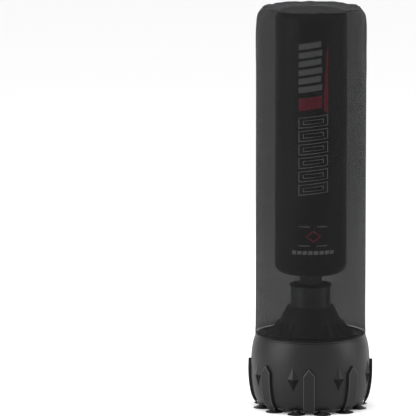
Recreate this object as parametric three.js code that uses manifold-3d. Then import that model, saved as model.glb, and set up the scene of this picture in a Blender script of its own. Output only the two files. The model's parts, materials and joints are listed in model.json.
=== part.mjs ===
// A free-standing punching bag on a round, water-filled base, with its dust cover pulled over it.
// Millimetres, +Z up. The origin is on the floor under the bag's axis, and -Y is the front.
// Directions round the axis are given in degrees from the front, positive towards +X.

import * as THREE from "three";
import { mergeVertices } from "three/addons/utils/BufferGeometryUtils.js";
import Module from "manifold-3d";

const wasm = await Module();
wasm.setup();

// ---- Driving dimensions ----

const GAP = 0.3; // between pieces that touch

const TANK_R = 256.5; // widest radius of the tank's wall
const TANK_BOTTOM = 22;
const TANK_FLOOR = 14; // thickness of the floor, which holds the suction cups' studs
const TANK_WALL = 5;
const RIM_TOP = 321;
const RIM_INNER_R = 222;
const DECK_TOP = 314;
const DECK_THICK = 6;
const HUB_THICK = 14; // the deck is thicker in the middle, where the collar is bolted to it
const HUB_R = 140;
const WATER_TOP = 285;

const PANEL_COUNT = 8;
const PANEL_WIDTH = 50;
const PANEL_PROUD = 11.5; // how far a panel stands out of the wall
const PANEL_SHOULDER = 177;
const PANEL_TIP = 209;
const DIAMOND_OFFSET = -15.5; // degrees from each panel to the diamond beside it
const DIAMOND_Z = 156;
const DIAMOND_HALF_HEIGHT = 68; // of the base inside the wall; 48 mm of it shows outside
const DIAMOND_HALF_WIDTH = 40; // 24 mm of it shows outside
const DIAMOND_APEX_R = 266;

const CUP_COUNT = 12;
const CUP_RING_R = 213;
const CUP_LIP_R = 38.5;
const STUD_R = 6;
const STUD_TOP = 31;

const FILLER_Y = -190;
const FILLER_BORE_R = 18;
const FILLER_NECK_R = 23;
const FILLER_NECK_TOP = 328;
const CAP_R = 28;
const CAP_TOP = 335;
const CAP_RIBS = 16;

const CONE_FOOT_R = 158;
const CONE_KNEE_R = 133;
const CONE_KNEE_Z = 373;
const CONE_TOP_R = 101.5;
const CONE_TOP = 440;
const CONE_WALL = 4;
const FLANGE_R = 186;
const FIN_R = 188;
const FIN_TOP_R = 142;
const FIN_THICK = 4;
const FIN_STEP = 15; // degrees between fins
const SCREW_RING_R = 172;
const SCREW_ANGLES = [37.5, 142.5, -142.5, -37.5];

const COLLAR_R = 88;
const COLLAR_WALL = 5.5;
const COLLAR_TOP = 528;
const COLLAR_FLANGE_R = 124;
const COLLAR_BOLT_RING_R = 107;
const CAP_RING_R = 90;
const CAP_RING_TOP = 535;
const CAP_RING_BOTTOM = 521;
const CAP_RING_BORE = 62;

const PIVOT_Z = 485; // the middle of the sway spring, where the bag's column bends
const SPRING_R = 34;
const SPRING_WIRE_R = 4.5;
const SPRING_HALF = 53; // half the spring's free length
const SPRING_TURNS = 5;
const SEAT_R = 44;
const SEAT_THICK = 6;
const DOME_R = 71; // a ball round the pivot, so that it turns inside the collar's ring

const NECK_R = 50;
const NECK_WALL = 3.2;
const NECK_BOTTOM = 492;
const BAG_R = 154;
const BAG_BOTTOM = 585;
const BAG_TOP = 1724;
const SKIN = 3;
const BAG_FOOT_ROUND = 42; // radius of the bag's lower edge
const BAG_HEAD_ROUND = 34;
const CORE_R = 60;
const CORE_WALL = 4;
const POLE_R = 24;
const BOARD_R = 108;
const BOARD_TOP = 598;
const BAG_FLANGE_R = 100;
const BAG_BOLT_RING_R = 80;

const ZIP_LOW = 650;
const ZIP_HIGH = 1670;
const ZIP_TAPE_HALF = 15;
const ZIP_TEETH_HALF = 3;
const ZIP_SLIDER_Z = 668;
const ZIP_PIN_R = 1;
const ZIP_PIN_OUT = 7.5; // from the slider's inner face to the pin its pull turns on

const COVER_R = 237.5;
const COVER_WALL = 2.4;
const COVER_BOTTOM = 322;
const COVER_TOP = 1733;
const COVER_ROUND = 46; // radius of the cover's top edge
const HEM_TOP = 347;
const HEM_PROUD = 1.5;

const CORD_ANGLE = 194.8; // where the drawcord comes out, behind the bag
const CORD_R = 2.2;
const CORD_SPACING = 8;
const CORD_EXIT_Z = 334;
const EYELET_OUT_R = 241.4;
const LOCK_R = 15;
const LOCK_Z = 297;
const LOCK_AXIS_R = 260; // distance of the lock's centre from the bag's axis
const BUTTON_R = 8.5;

// ---- Materials ----

const finish = (color, roughness, metalness = 0, opacity = 1) =>
  new THREE.MeshStandardMaterial({ color, roughness, metalness, opacity, transparent: opacity < 1 });

const tankPlastic = finish(0x1c1c1e, 0.35);
const shroudPlastic = finish(0x161617, 0.5);
const cupRubber = finish(0x0c0c0c, 0.6);
const bufferRubber = finish(0x141414, 0.8);
const darkSteel = finish(0x202224, 0.3, 0.8);
const zincSteel = finish(0x9a9da0, 0.4, 0.9);
const springSteel = finish(0x3a3c40, 0.35, 0.9);
const corePlastic = finish(0x2b2b2b, 0.7);
const water = finish(0x7fa0ad, 0.1);
const foam = finish(0xd8d8d2, 0.95);
const plywood = finish(0xb08d5c, 0.8);
const bagLeather = finish(0x101011, 0.35);
const zipTape = finish(0x0e0e0e, 0.9);
const zipMetal = finish(0x55575a, 0.35, 0.9);
const coverFabric = finish(0x2b2b2c, 0.6, 0, 0.8);
const cordBraid = finish(0x0d0d0d, 0.9);

// ---- Making shapes ----

const rad = THREE.MathUtils.degToRad;

// A point at radius r, at a direction from the front, and at height z.
function around(r, degrees, z = 0) {
  return new THREE.Vector3(r * Math.sin(rad(degrees)), -r * Math.cos(rad(degrees)), z);
}

// A solid of revolution about Z from [radius, height] points, listed with the solid on their left.
function revolve(profile, segments) {
  const points = profile.map(([r, z]) => new THREE.Vector2(r, z));
  return new THREE.LatheGeometry(points, segments).rotateX(Math.PI / 2);
}

function ring(innerR, outerR, low, high, segments = 24) {
  return revolve([[innerR, low], [outerR, low], [outerR, high], [innerR, high], [innerR, low]], segments);
}

function rod(r, low, high, segments = 20) {
  return revolve([[0, low], [r, low], [r, high], [0, high]], segments);
}

// Points [radius, height] on an arc, from one angle to another in degrees from +R towards +Z.
function arc(centreR, centreZ, radius, from, to, steps) {
  return Array.from({ length: steps + 1 }, (_, i) => {
    const a = rad(from + ((to - from) * i) / steps);
    return [centreR + radius * Math.cos(a), centreZ + radius * Math.sin(a)];
  });
}

// An upright plate: an outline of [x, z] points, thick along Y and centred on it.
function plate(outline, thick) {
  const shape = new THREE.Shape(outline.map(([x, z]) => new THREE.Vector2(x, z)));
  const made = new THREE.ExtrudeGeometry(shape, { depth: thick, bevelEnabled: false });
  return made.translate(0, 0, -thick / 2).rotateX(Math.PI / 2);
}

// A sector of a ring wall, half wide on each side of the back, for what is sewn to the bag's skin.
function backStrip(innerR, outerR, halfWidth, low, high) {
  const half = halfWidth / innerR;
  const shape = new THREE.Shape();
  shape.absarc(0, 0, outerR, Math.PI / 2 - half, Math.PI / 2 + half, false);
  shape.absarc(0, 0, innerR, Math.PI / 2 + half, Math.PI / 2 - half, true);
  const made = new THREE.ExtrudeGeometry(shape, { depth: high - low, bevelEnabled: false, curveSegments: 2 });
  return made.translate(0, 0, low);
}

// A round bar along a smooth curve.
function bar(curve, radius, steps, sides = 8) {
  const section = new THREE.Shape();
  for (let i = 0; i < sides; i++) {
    const a = (2 * Math.PI * i) / sides;
    section[i ? "lineTo" : "moveTo"](radius * Math.cos(a), radius * Math.sin(a));
  }
  section.closePath();
  return new THREE.ExtrudeGeometry(section, { steps, extrudePath: curve, bevelEnabled: false });
}

// ---- Cutting and joining ----

function solid(geometry) {
  const bare = geometry.clone();
  bare.deleteAttribute("normal");
  bare.deleteAttribute("uv");
  const merged = mergeVertices(bare, 1e-3);
  const vertProperties = new Float32Array(merged.attributes.position.array);
  const triVerts = new Uint32Array(merged.index.array);
  return new wasm.Manifold(new wasm.Mesh({ numProp: 3, vertProperties, triVerts }));
}

function geometryOf(manifold) {
  const mesh = manifold.getMesh();
  const made = new THREE.BufferGeometry();
  made.setAttribute("position", new THREE.BufferAttribute(new Float32Array(mesh.vertProperties), 3));
  made.setIndex(new THREE.BufferAttribute(new Uint32Array(mesh.triVerts), 1));
  made.computeVertexNormals();
  return made;
}

const joined = (first, ...others) => others.reduce((all, o) => all.add(solid(o)), first);
const cut = (first, ...others) => others.reduce((all, o) => all.subtract(solid(o)), first);

// ---- The scene graph ----

const bagOnStand = new THREE.Group();

function place(name, geometry, material) {
  const mesh = new THREE.Mesh(geometry, material);
  mesh.name = name;
  bagOnStand.add(mesh);
  return mesh;
}

// ---- Base: tank, ballast, filler and suction cups ----

const bulge = new THREE.SplineCurve(
  [
    [226, 22], [236, 38], [246, 66], [254.5, 120], [TANK_R, 185], [254, 240], [246.5, 287], [238, 312],
  ].map(([r, z]) => new THREE.Vector2(r, z)),
);
const bulgePoints = (grow, steps = 8) => bulge.getPoints(steps).map((p) => [p.x + grow, p.y]);

// The radius of the tank's wall at a height.
function wallRadius(z) {
  let low = 0;
  let high = 1;
  for (let i = 0; i < 30; i++) {
    const middle = (low + high) / 2;
    if (bulge.getPoint(middle).y < z) low = middle;
    else high = middle;
  }
  return bulge.getPoint(low).x;
}

function tankOutside() {
  const rim = arc(230, 313, 8, 0, 90, 2);
  const deck = [[RIM_INNER_R, RIM_TOP], [RIM_INNER_R - 4, DECK_TOP], [0, DECK_TOP]];
  return revolve([[0, TANK_BOTTOM], ...bulgePoints(0), ...rim, ...deck], 48);
}

function tankInside(shrink, top, hubTop) {
  const floor = TANK_BOTTOM + TANK_FLOOR + shrink;
  const levels = [...new Set([floor, 70, 120, 190, 250, WATER_TOP, top])];
  const wall = levels.map((z) => [wallRadius(z) - TANK_WALL - shrink, z]);
  wall[0] = [223 - shrink, floor];
  const shoulder = hubTop < top ? [[HUB_R + 6, top], [HUB_R, hubTop]] : [];
  return revolve([[0, floor], ...wall, ...shoulder, [0, hubTop]], 32);
}

// One upright panel with a pointed top, following the wall's curve and standing out of it.
function panel(degrees) {
  const outer = bulgePoints(PANEL_PROUD, 7).filter(([, z]) => z < PANEL_TIP + 30);
  const inner = [[240, PANEL_TIP + 20], [240, 60]];
  const profile = plate([[227, 24], [232, 12], [237.5, 12], ...outer, ...inner], PANEL_WIDTH + 10);
  const half = PANEL_WIDTH / 2;
  const outline = plate(
    [[-half, 0], [half, 0], [half, PANEL_SHOULDER], [0, PANEL_TIP], [-half, PANEL_SHOULDER]],
    200,
  );
  outline.rotateZ(Math.PI / 2).translate(TANK_R, 0, 0);
  const shaped = geometryOf(solid(profile).intersect(solid(outline)));
  return shaped.rotateZ(rad(degrees - 90));
}

// One raised four-sided stud: a flat pyramid on a diamond-shaped base inside the wall.
function diamond(degrees) {
  const base = 249;
  const z = DIAMOND_Z;
  const positions = [
    [base, 0, z + DIAMOND_HALF_HEIGHT], [base, DIAMOND_HALF_WIDTH, z],
    [base, 0, z - DIAMOND_HALF_HEIGHT], [base, -DIAMOND_HALF_WIDTH, z],
    [DIAMOND_APEX_R, 0, z],
  ];
  const made = new THREE.BufferGeometry();
  made.setAttribute("position", new THREE.Float32BufferAttribute(positions.flat(), 3));
  made.setIndex([0, 4, 1, 1, 4, 2, 2, 4, 3, 3, 4, 0, 0, 1, 2, 0, 2, 3]);
  return made.rotateZ(rad(degrees - 90));
}

function tank() {
  const filler = rod(FILLER_NECK_R, DECK_TOP - DECK_THICK, FILLER_NECK_TOP, 24).translate(0, FILLER_Y, 0);
  const bore = rod(FILLER_BORE_R, WATER_TOP, FILLER_NECK_TOP + 5, 24).translate(0, FILLER_Y, 0);
  const angles = Array.from({ length: PANEL_COUNT }, (_, i) => (360 / PANEL_COUNT) * i);
  let made = joined(solid(tankOutside()), ...angles.map(panel));
  made = joined(made, ...angles.map((a) => diamond(a + DIAMOND_OFFSET)), filler);
  made = cut(made, tankInside(0, DECK_TOP - DECK_THICK, DECK_TOP - HUB_THICK), bore);
  made = cut(made, ...cupPlaces.map((p) => rod(STUD_R + GAP, 0, STUD_TOP + 1, 12).translate(p.x, p.y, 0)));
  const screwHoles = SCREW_ANGLES.map((a) => around(SCREW_RING_R, a));
  made = cut(made, ...screwHoles.map((p) => rod(2.8, 309.4, 320, 8).translate(p.x, p.y, 0)));
  return cut(made, ...collarBoltPlaces.map((p) => rod(4.3, 302, 320, 8).translate(p.x, p.y, 0)));
}

const cupPlaces = Array.from({ length: CUP_COUNT }, (_, i) =>
  around(CUP_RING_R, (360 / CUP_COUNT) * (i + 0.5)),
);
const collarBoltPlaces = [45, 135, 225, 315].map((a) => around(COLLAR_BOLT_RING_R, a));

function suctionCup() {
  const top = TANK_BOTTOM - GAP;
  return revolve(
    [
      [0, 6], [20, 4.5], [35.5, 0], [CUP_LIP_R, 0], [23, 6.5], [13.5, 13], [13, top],
      [STUD_R, top], [STUD_R, STUD_TOP], [0, STUD_TOP],
    ],
    12,
  );
}

place("base_tank", geometryOf(tank()), tankPlastic);
place("water_ballast", tankInside(0.5, WATER_TOP, WATER_TOP), water);
cupPlaces.forEach((p, i) => {
  const number = String(i + 1).padStart(2, "0");
  place(`suction_cup_${number}`, suctionCup(), cupRubber).position.set(p.x, p.y, 0);
});

const gasketLow = FILLER_NECK_TOP + GAP;
place("cap_gasket", ring(17.5, 22.5, gasketLow, gasketLow + 2), bufferRubber).position.y = FILLER_Y;

function fillerCap() {
  const low = DECK_TOP + 1.5;
  const outline = Array.from({ length: CAP_RIBS * 4 }, (_, i) => {
    const r = i % 4 < 2 ? CAP_R : CAP_R - 1.6;
    return new THREE.Vector2(r, 0).rotateAround(new THREE.Vector2(), (2 * Math.PI * i) / (CAP_RIBS * 4));
  });
  const depth = CAP_TOP - low;
  const knurled = new THREE.ExtrudeGeometry(new THREE.Shape(outline), { depth, bevelEnabled: false });
  const inside = rod(FILLER_NECK_R + 0.6, low - 5, gasketLow + 2 + GAP, 24);
  return geometryOf(cut(solid(knurled.translate(0, 0, low)), inside));
}
place("filler_cap", fillerCap(), shroudPlastic).position.y = FILLER_Y;

// ---- Shroud: the finned cone over the foot of the column ----

function shroudCone() {
  const low = DECK_TOP + GAP;
  const shell = revolve(
    [
      [CONE_FOOT_R - CONE_WALL, low], [FLANGE_R, low], [FLANGE_R, low + 3], [CONE_FOOT_R, low + 3],
      [CONE_KNEE_R, CONE_KNEE_Z], [CONE_TOP_R, CONE_TOP - 2], [CONE_TOP_R - 2, CONE_TOP],
      [COLLAR_R + 0.6, CONE_TOP], [COLLAR_R + 0.6, CONE_TOP - CONE_WALL], [CONE_TOP_R - 5, CONE_TOP - CONE_WALL],
      [CONE_KNEE_R - CONE_WALL, CONE_KNEE_Z], [CONE_FOOT_R - CONE_WALL, low],
    ],
    32,
  );
  const finOutline = [
    [CONE_FOOT_R - 3, low], [FIN_R, low], [FIN_R, low + 6], [FIN_TOP_R, CONE_KNEE_Z], [CONE_KNEE_R - 2.5, CONE_KNEE_Z],
  ];
  const fins = [];
  for (let a = 2 * FIN_STEP; a <= 360 - 2 * FIN_STEP; a += FIN_STEP) {
    fins.push(plate(finOutline, FIN_THICK).rotateZ(rad(a - 90)));
  }
  const capNotch = rod(CAP_R + 3, low - 5, CAP_TOP + 30, 20).translate(0, FILLER_Y, 0);
  const screwHoles = SCREW_ANGLES.map((a) => around(SCREW_RING_R, a));
  const holes = screwHoles.map((p) => rod(2.8, low - 5, low + 12, 8).translate(p.x, p.y, 0));
  return cut(joined(solid(shell), ...fins), capNotch, ...holes);
}

// A pan-head screw or bolt: the underside of its head is at height z.
function screw(shankR, shankLength, headR, headHeight, z, segments = 8) {
  return revolve(
    [
      [0, z - shankLength], [shankR, z - shankLength], [shankR, z], [headR, z], [headR, z + headHeight * 0.6],
      [headR * 0.6, z + headHeight], [0, z + headHeight],
    ],
    segments,
  );
}

place("shroud_cone", geometryOf(shroudCone()), shroudPlastic);
SCREW_ANGLES.forEach((a, i) => {
  const p = around(SCREW_RING_R, a);
  const made = screw(2.4, 8, 5, 3, DECK_TOP + 3 + 2 * GAP);
  place(`shroud_screw_${i + 1}`, made, zincSteel).position.set(p.x, p.y, 0);
});

// ---- Column: collar, buffers and sway spring ----

function collarTube() {
  const low = DECK_TOP + GAP;
  const inner = COLLAR_R - COLLAR_WALL;
  const shell = revolve(
    [
      [inner, low], [COLLAR_FLANGE_R, low], [COLLAR_FLANGE_R, low + 6], [COLLAR_R, low + 6],
      [COLLAR_R, COLLAR_TOP], [inner, COLLAR_TOP], [inner, low],
    ],
    32,
  );
  return cut(solid(shell), ...collarBoltPlaces.map((p) => rod(4.3, 300, 330, 8).translate(p.x, p.y, 0)));
}

function collarRing() {
  const inner = COLLAR_R - COLLAR_WALL - GAP;
  return revolve(
    [
      [CAP_RING_BORE, CAP_RING_BOTTOM], [76, CAP_RING_BOTTOM], [76, 514], [inner, 514], [inner, COLLAR_TOP + GAP],
      [CAP_RING_R, COLLAR_TOP + GAP], [CAP_RING_R, CAP_RING_TOP - 2], [CAP_RING_R - 2, CAP_RING_TOP],
      [CAP_RING_BORE, CAP_RING_TOP], [CAP_RING_BORE, CAP_RING_BOTTOM],
    ],
    32,
  );
}

const springLow = PIVOT_Z - SPRING_HALF;
const springHigh = PIVOT_Z + SPRING_HALF;

class SpringCurve extends THREE.Curve {
  getPoint(t, target = new THREE.Vector3()) {
    const low = springLow + SPRING_WIRE_R;
    const rise = 2 * (SPRING_HALF - SPRING_WIRE_R);
    return target.copy(around(SPRING_R, 360 * SPRING_TURNS * t, low + rise * t));
  }
}

function lowerSeat() {
  const top = springLow - GAP;
  return revolve(
    [
      [19, DECK_TOP + GAP], [70, DECK_TOP + GAP], [70, 320], [25, 320], [25, top - SEAT_THICK],
      [SEAT_R, top - SEAT_THICK], [SEAT_R, top], [19, top], [19, DECK_TOP + GAP],
    ],
    24,
  );
}

const tubeInner = COLLAR_R - COLLAR_WALL - GAP;
place("collar_tube", geometryOf(collarTube()), darkSteel);
collarBoltPlaces.forEach((p, i) => {
  const made = screw(4, 16, 7.5, 6, DECK_TOP + 6 + 2 * GAP);
  place(`collar_bolt_${i + 1}`, made, zincSteel).position.set(p.x, p.y, 0);
});
place("collar_ring", collarRing(), shroudPlastic);
place("lower_spring_seat", lowerSeat(), darkSteel);
place("lower_buffer", ring(25.3, tubeInner, 321, 400, 32), bufferRubber);
place("upper_buffer", ring(56, tubeInner, 455, 503, 32), bufferRubber);
place("sway_spring", bar(new SpringCurve(), SPRING_WIRE_R, SPRING_TURNS * 12, 6), springSteel);

// ---- Swaying column and bag ----

function upperSeat() {
  const low = springHigh + GAP;
  return ring(POLE_R - 6, NECK_R - NECK_WALL - 1, low, low + SEAT_THICK);
}

function neckTube() {
  const inner = NECK_R - NECK_WALL;
  const flangeLow = BOARD_TOP + GAP;
  const shell = revolve(
    [
      [inner, NECK_BOTTOM], [NECK_R, NECK_BOTTOM], [NECK_R, flangeLow], [BAG_FLANGE_R, flangeLow],
      [BAG_FLANGE_R, flangeLow + 5], [inner, flangeLow + 5], [inner, NECK_BOTTOM],
    ],
    28,
  );
  return cut(solid(shell), ...bagBoltPlaces.map((p) => rod(4.3, 590, 620, 8).translate(p.x, p.y, 0)));
}

function dustDome() {
  const top = THREE.MathUtils.radToDeg(Math.acos((NECK_R + GAP) / DOME_R));
  const innerR = DOME_R - 3;
  const innerTop = THREE.MathUtils.radToDeg(Math.acos((NECK_R + GAP) / innerR));
  const outside = arc(0, PIVOT_Z, DOME_R, 20, top, 3);
  const inside = arc(0, PIVOT_Z, innerR, innerTop, 20, 3);
  return revolve([...outside, ...inside, outside[0]], 28);
}

const bagBoltPlaces = [45, 135, 225, 315].map((a) => around(BAG_BOLT_RING_R, a));

function bagProfile(inset) {
  const foot = arc(BAG_R - BAG_FOOT_ROUND, BAG_BOTTOM + BAG_FOOT_ROUND, BAG_FOOT_ROUND - inset, -90, 0, 3);
  const head = arc(BAG_R - BAG_HEAD_ROUND, BAG_TOP - BAG_HEAD_ROUND, BAG_HEAD_ROUND - inset, 0, 90, 3);
  return [...foot, ...head];
}

function bagSkin() {
  const hole = NECK_R + 0.6;
  const outside = [[hole, BAG_BOTTOM], ...bagProfile(0), [0, BAG_TOP]];
  const inside = [[hole, BAG_BOTTOM + SKIN], ...bagProfile(SKIN), [0, BAG_TOP - SKIN]].reverse();
  const shell = revolve([...outside, ...inside, outside[0]], 32);
  return cut(solid(shell), ...bagBoltPlaces.map((p) => rod(4.3, 580, 592, 8).translate(p.x, p.y, 0)));
}

function bagFoam() {
  const low = BOARD_TOP + 14;
  const high = BAG_TOP - 30;
  const inset = SKIN + GAP;
  const wall = bagProfile(inset).filter(([, z]) => z > low + 2 && z < high - 2);
  const footDrop = BAG_BOTTOM + BAG_FOOT_ROUND - low;
  const footR = BAG_R - BAG_FOOT_ROUND + Math.sqrt((BAG_FOOT_ROUND - inset) ** 2 - footDrop ** 2) - 1.6;
  return revolve(
    [
      [CORE_R + GAP, low], [footR, low], ...wall, [wall.at(-1)[0] - 2, high], [CORE_R + GAP, high],
      [CORE_R + GAP, low],
    ],
    32,
  );
}

function bottomBoard() {
  const disc = ring(NECK_R + 0.6, BOARD_R, BAG_BOTTOM + SKIN + GAP, BOARD_TOP, 28);
  return cut(solid(disc), ...bagBoltPlaces.map((p) => rod(4.3, 580, 620, 8).translate(p.x, p.y, 0)));
}

// A bolt up through the bag's bottom: a dome head under the skin and a nut above the flange.
function bagBolt() {
  const head = BAG_BOTTOM - GAP;
  const nut = BOARD_TOP + 5 + 2 * GAP;
  return revolve(
    [
      [0, head - 5], [5, head - 4], [8, head - 1.5], [8, head], [4, head], [4, nut], [7, nut], [7, nut + 5],
      [0, nut + 5],
    ],
    8,
  );
}

place("upper_spring_seat", upperSeat(), darkSteel);
place("neck_tube", geometryOf(neckTube()), darkSteel);
place("dust_dome", dustDome(), bufferRubber);
place("centre_pole", ring(POLE_R - 2.5, POLE_R, springHigh + SEAT_THICK + 2 * GAP, 1640, 20), zincSteel);
place("pole_plug", rod(POLE_R + 4, 1640 + GAP, 1652, 20), corePlastic);
place("core_tube", ring(CORE_R - CORE_WALL, CORE_R, BOARD_TOP + 14, 1685), corePlastic);
place("foam_wrap", bagFoam(), foam);
place("top_pad", rod(116, BAG_TOP - 29, BAG_TOP - SKIN - GAP, 28), foam);
place("bottom_board", geometryOf(bottomBoard()), plywood);
bagBoltPlaces.forEach((p, i) => {
  place(`bag_bolt_${i + 1}`, bagBolt(), zincSteel).position.set(p.x, p.y, 0);
});
place("bag_skin", geometryOf(bagSkin()), bagLeather);

// ---- Zip down the back of the bag ----

const tapeR = BAG_R + GAP;
place("zip_tape", backStrip(tapeR, tapeR + 1.2, ZIP_TAPE_HALF, ZIP_LOW, ZIP_HIGH), zipTape);
const teethR = tapeR + 1.2 + GAP;
place("zip_teeth", backStrip(teethR, teethR + 1.6, ZIP_TEETH_HALF, ZIP_LOW + 6, ZIP_HIGH - 6), zipMetal);

const zipFace = teethR + 1.6 + GAP; // the slider's inner face
const zipPinY = zipFace + ZIP_PIN_OUT;

// A bar across the zip, along X, through the slider's hinge.
function acrossZip(r, from, to, segments = 12) {
  return rod(r, from, to, segments).rotateY(Math.PI / 2).translate(0, zipPinY, ZIP_SLIDER_Z);
}

function zipSlider() {
  const body = new THREE.BoxGeometry(11, 3, 16).translate(0, zipFace + 1.5, ZIP_SLIDER_Z);
  const post = new THREE.BoxGeometry(4, ZIP_PIN_OUT - 0.5, 4.4).translate(0, zipFace + 5, ZIP_SLIDER_Z);
  return joined(solid(body), post, acrossZip(ZIP_PIN_R, -5.6, 5.6));
}

// The pull: a plate on two arms, one each side of the slider's post, that turn on its pin.
function zipPull() {
  const outline = [
    [-5, -38], [5, -38], [5.2, -8], [5.2, 0], [2.3, 0],
    [2.3, -6], [-2.3, -6], [-2.3, 0], [-5.2, 0], [-5.2, -8],
  ];
  const slab = plate(outline, 2).translate(0, zipPinY, ZIP_SLIDER_Z);
  const eyes = [acrossZip(2.3, 2.3, 5.2), acrossZip(2.3, -5.2, -2.3)];
  return cut(joined(solid(slab), ...eyes), acrossZip(ZIP_PIN_R + GAP, -8, 8));
}
place("zip_slider", geometryOf(zipSlider()), zipMetal);
place("zip_pull", geometryOf(zipPull()), zipMetal);

// ---- Dust cover, drawcord and cord lock ----

function coverProfile(inset) {
  const centreR = COVER_R - COVER_ROUND;
  const edge = arc(centreR, COVER_TOP - COVER_ROUND, COVER_ROUND - inset, 0, 90, 4);
  return [...edge, [0, COVER_TOP - inset]];
}

function dustCover() {
  const outside = [
    [COVER_R - COVER_WALL, COVER_BOTTOM], [COVER_R + HEM_PROUD, COVER_BOTTOM], [COVER_R + HEM_PROUD, HEM_TOP],
    [COVER_R, HEM_TOP], ...coverProfile(0),
  ];
  const inside = [...coverProfile(COVER_WALL)].reverse();
  return revolve([...outside, ...inside, outside[0]], 40);
}

const cordSides = [-1, 1];

// The drawcord's free end: out of the eyelet, over into the lock, and down behind the base.
function cordRoute(side) {
  const tangent = around(1, CORD_ANGLE + 90);
  const at = (r, z, spread = 1) =>
    around(r, CORD_ANGLE, z).addScaledVector(tangent, (-side * spread * CORD_SPACING) / 2);
  return new THREE.CatmullRomCurve3(
    [
      at(EYELET_OUT_R, CORD_EXIT_Z, 2), at(244.2, CORD_EXIT_Z, 2), at(247, CORD_EXIT_Z - 0.2, 2),
      at(250.2, CORD_EXIT_Z - 1.1, 1.9), at(253.2, CORD_EXIT_Z - 3, 1.75), at(256, CORD_EXIT_Z - 6.2, 1.5),
      at(258.3, CORD_EXIT_Z - 10.8, 1.2), at(259.6, CORD_EXIT_Z - 16.5, 1.02), at(260, CORD_EXIT_Z - 23),
      at(260, 300), at(260, 288), at(260, 277, 1.03), at(260.2, 262, 1.2), at(260.5, 245, 1.5),
      at(260.8, 225, 1.85), at(261, 205, 2.1), at(261, 185, 2.3), at(261, 165, 2.4),
    ],
    false,
    "centripetal",
  );
}

function drawcord(side) {
  const route = cordRoute(side);
  const end = route.getPoint(1);
  const knot = new THREE.SphereGeometry(CORD_R * 1.9, 8, 6).translate(end.x, end.y, end.z);
  return joined(solid(bar(route, CORD_R, 18, 8)), knot);
}

function eyelet(side) {
  const made = ring(CORD_R + 0.5, 6.5, 0, 2.2, 12).rotateX(Math.PI / 2);
  const tangent = around(1, CORD_ANGLE + 90).multiplyScalar(-side * CORD_SPACING);
  made.rotateZ(rad(CORD_ANGLE));
  const foot = around(COVER_R + HEM_PROUD + GAP, CORD_ANGLE, CORD_EXIT_Z).add(tangent);
  return made.translate(foot.x, foot.y, foot.z);
}

// The lock's parts are made with the button pointing along -Y, then turned and moved into place.
function inLock(geometry) {
  const p = around(LOCK_AXIS_R, CORD_ANGLE, LOCK_Z);
  return geometry.rotateZ(rad(CORD_ANGLE)).translate(p.x, p.y, p.z);
}

const cordChannels = () =>
  cordSides.map((side) => rod(CORD_R + 0.9, -30, 30, 8).translate((side * CORD_SPACING) / 2, 0, 0));

function alongY(r, from, to, segments = 14) {
  return rod(r, from, to, segments).rotateX(Math.PI / 2);
}

function lockBody() {
  const ball = solid(new THREE.SphereGeometry(LOCK_R, 12, 8));
  return cut(ball, alongY(BUTTON_R + GAP, -10.2, 30), ...cordChannels());
}

function lockButton() {
  const stem = solid(alongY(BUTTON_R, -6.5, 18));
  const slot = new THREE.BoxGeometry(CORD_SPACING + 2 * CORD_R + 1.2, 9, 40).translate(0, -1.5, 0);
  return cut(stem, slot);
}

class LockSpringCurve extends THREE.Curve {
  getPoint(t, target = new THREE.Vector3()) {
    const a = 2 * Math.PI * 1.5 * t;
    return target.set(5 * Math.cos(a), 9.3 - 1.9 * t, 5 * Math.sin(a));
  }
}

place("dust_cover", dustCover(), coverFabric);
for (const side of cordSides) {
  const name = side < 0 ? "left" : "right";
  place(`eyelet_${name}`, eyelet(side), zipMetal);
  place(`drawcord_${name}`, geometryOf(drawcord(side)), cordBraid);
}
place("cord_lock", inLock(geometryOf(lockBody())), corePlastic);
place("lock_button", inLock(geometryOf(lockButton())), corePlastic);
place("lock_spring", inLock(bar(new LockSpringCurve(), 0.45, 20, 5)), springSteel);

export default bagOnStand;
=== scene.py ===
"""A free-standing punching bag under its see-through dust cover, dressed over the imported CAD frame.

Metres, +Z up, -Y towards the front. Directions round the axis are in degrees from the front, and
positive towards +X.
"""

import json
import math
import random

import bmesh
import bpy
from mathutils import Matrix, Vector


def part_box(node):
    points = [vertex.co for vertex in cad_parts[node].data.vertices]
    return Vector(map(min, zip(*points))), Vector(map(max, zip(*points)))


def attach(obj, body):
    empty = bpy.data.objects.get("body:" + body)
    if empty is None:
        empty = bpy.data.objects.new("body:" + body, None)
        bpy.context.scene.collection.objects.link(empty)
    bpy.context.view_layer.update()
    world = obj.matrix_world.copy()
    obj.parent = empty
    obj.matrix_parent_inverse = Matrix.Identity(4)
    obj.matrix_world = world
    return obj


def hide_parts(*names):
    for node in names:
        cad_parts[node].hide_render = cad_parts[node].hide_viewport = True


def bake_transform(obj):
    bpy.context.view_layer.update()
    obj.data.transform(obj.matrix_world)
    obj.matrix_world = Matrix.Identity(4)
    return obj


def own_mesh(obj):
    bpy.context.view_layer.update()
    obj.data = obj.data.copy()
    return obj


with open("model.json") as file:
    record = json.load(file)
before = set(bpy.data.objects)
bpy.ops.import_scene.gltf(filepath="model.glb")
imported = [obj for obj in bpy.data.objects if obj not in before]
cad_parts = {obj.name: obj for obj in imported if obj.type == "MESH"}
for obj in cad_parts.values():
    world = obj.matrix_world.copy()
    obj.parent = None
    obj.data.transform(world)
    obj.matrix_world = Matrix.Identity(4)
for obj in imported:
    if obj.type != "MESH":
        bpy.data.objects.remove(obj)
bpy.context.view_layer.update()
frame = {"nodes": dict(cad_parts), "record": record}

AXIS_Z = Vector((0, 0, 1))


def place_of(node):
    """A node's lowest and highest corners, as vectors."""
    low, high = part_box(node)
    return Vector(low), Vector(high)


def heights_of(node):
    """A node's lowest and highest z."""
    low, high = place_of(node)
    return low.z, high.z


def around(radius, degrees, z=0.0):
    """The point at a radius, at a direction from the front, and at a height."""
    a = math.radians(degrees)
    return Vector((radius * math.sin(a), -radius * math.cos(a), z))


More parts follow.
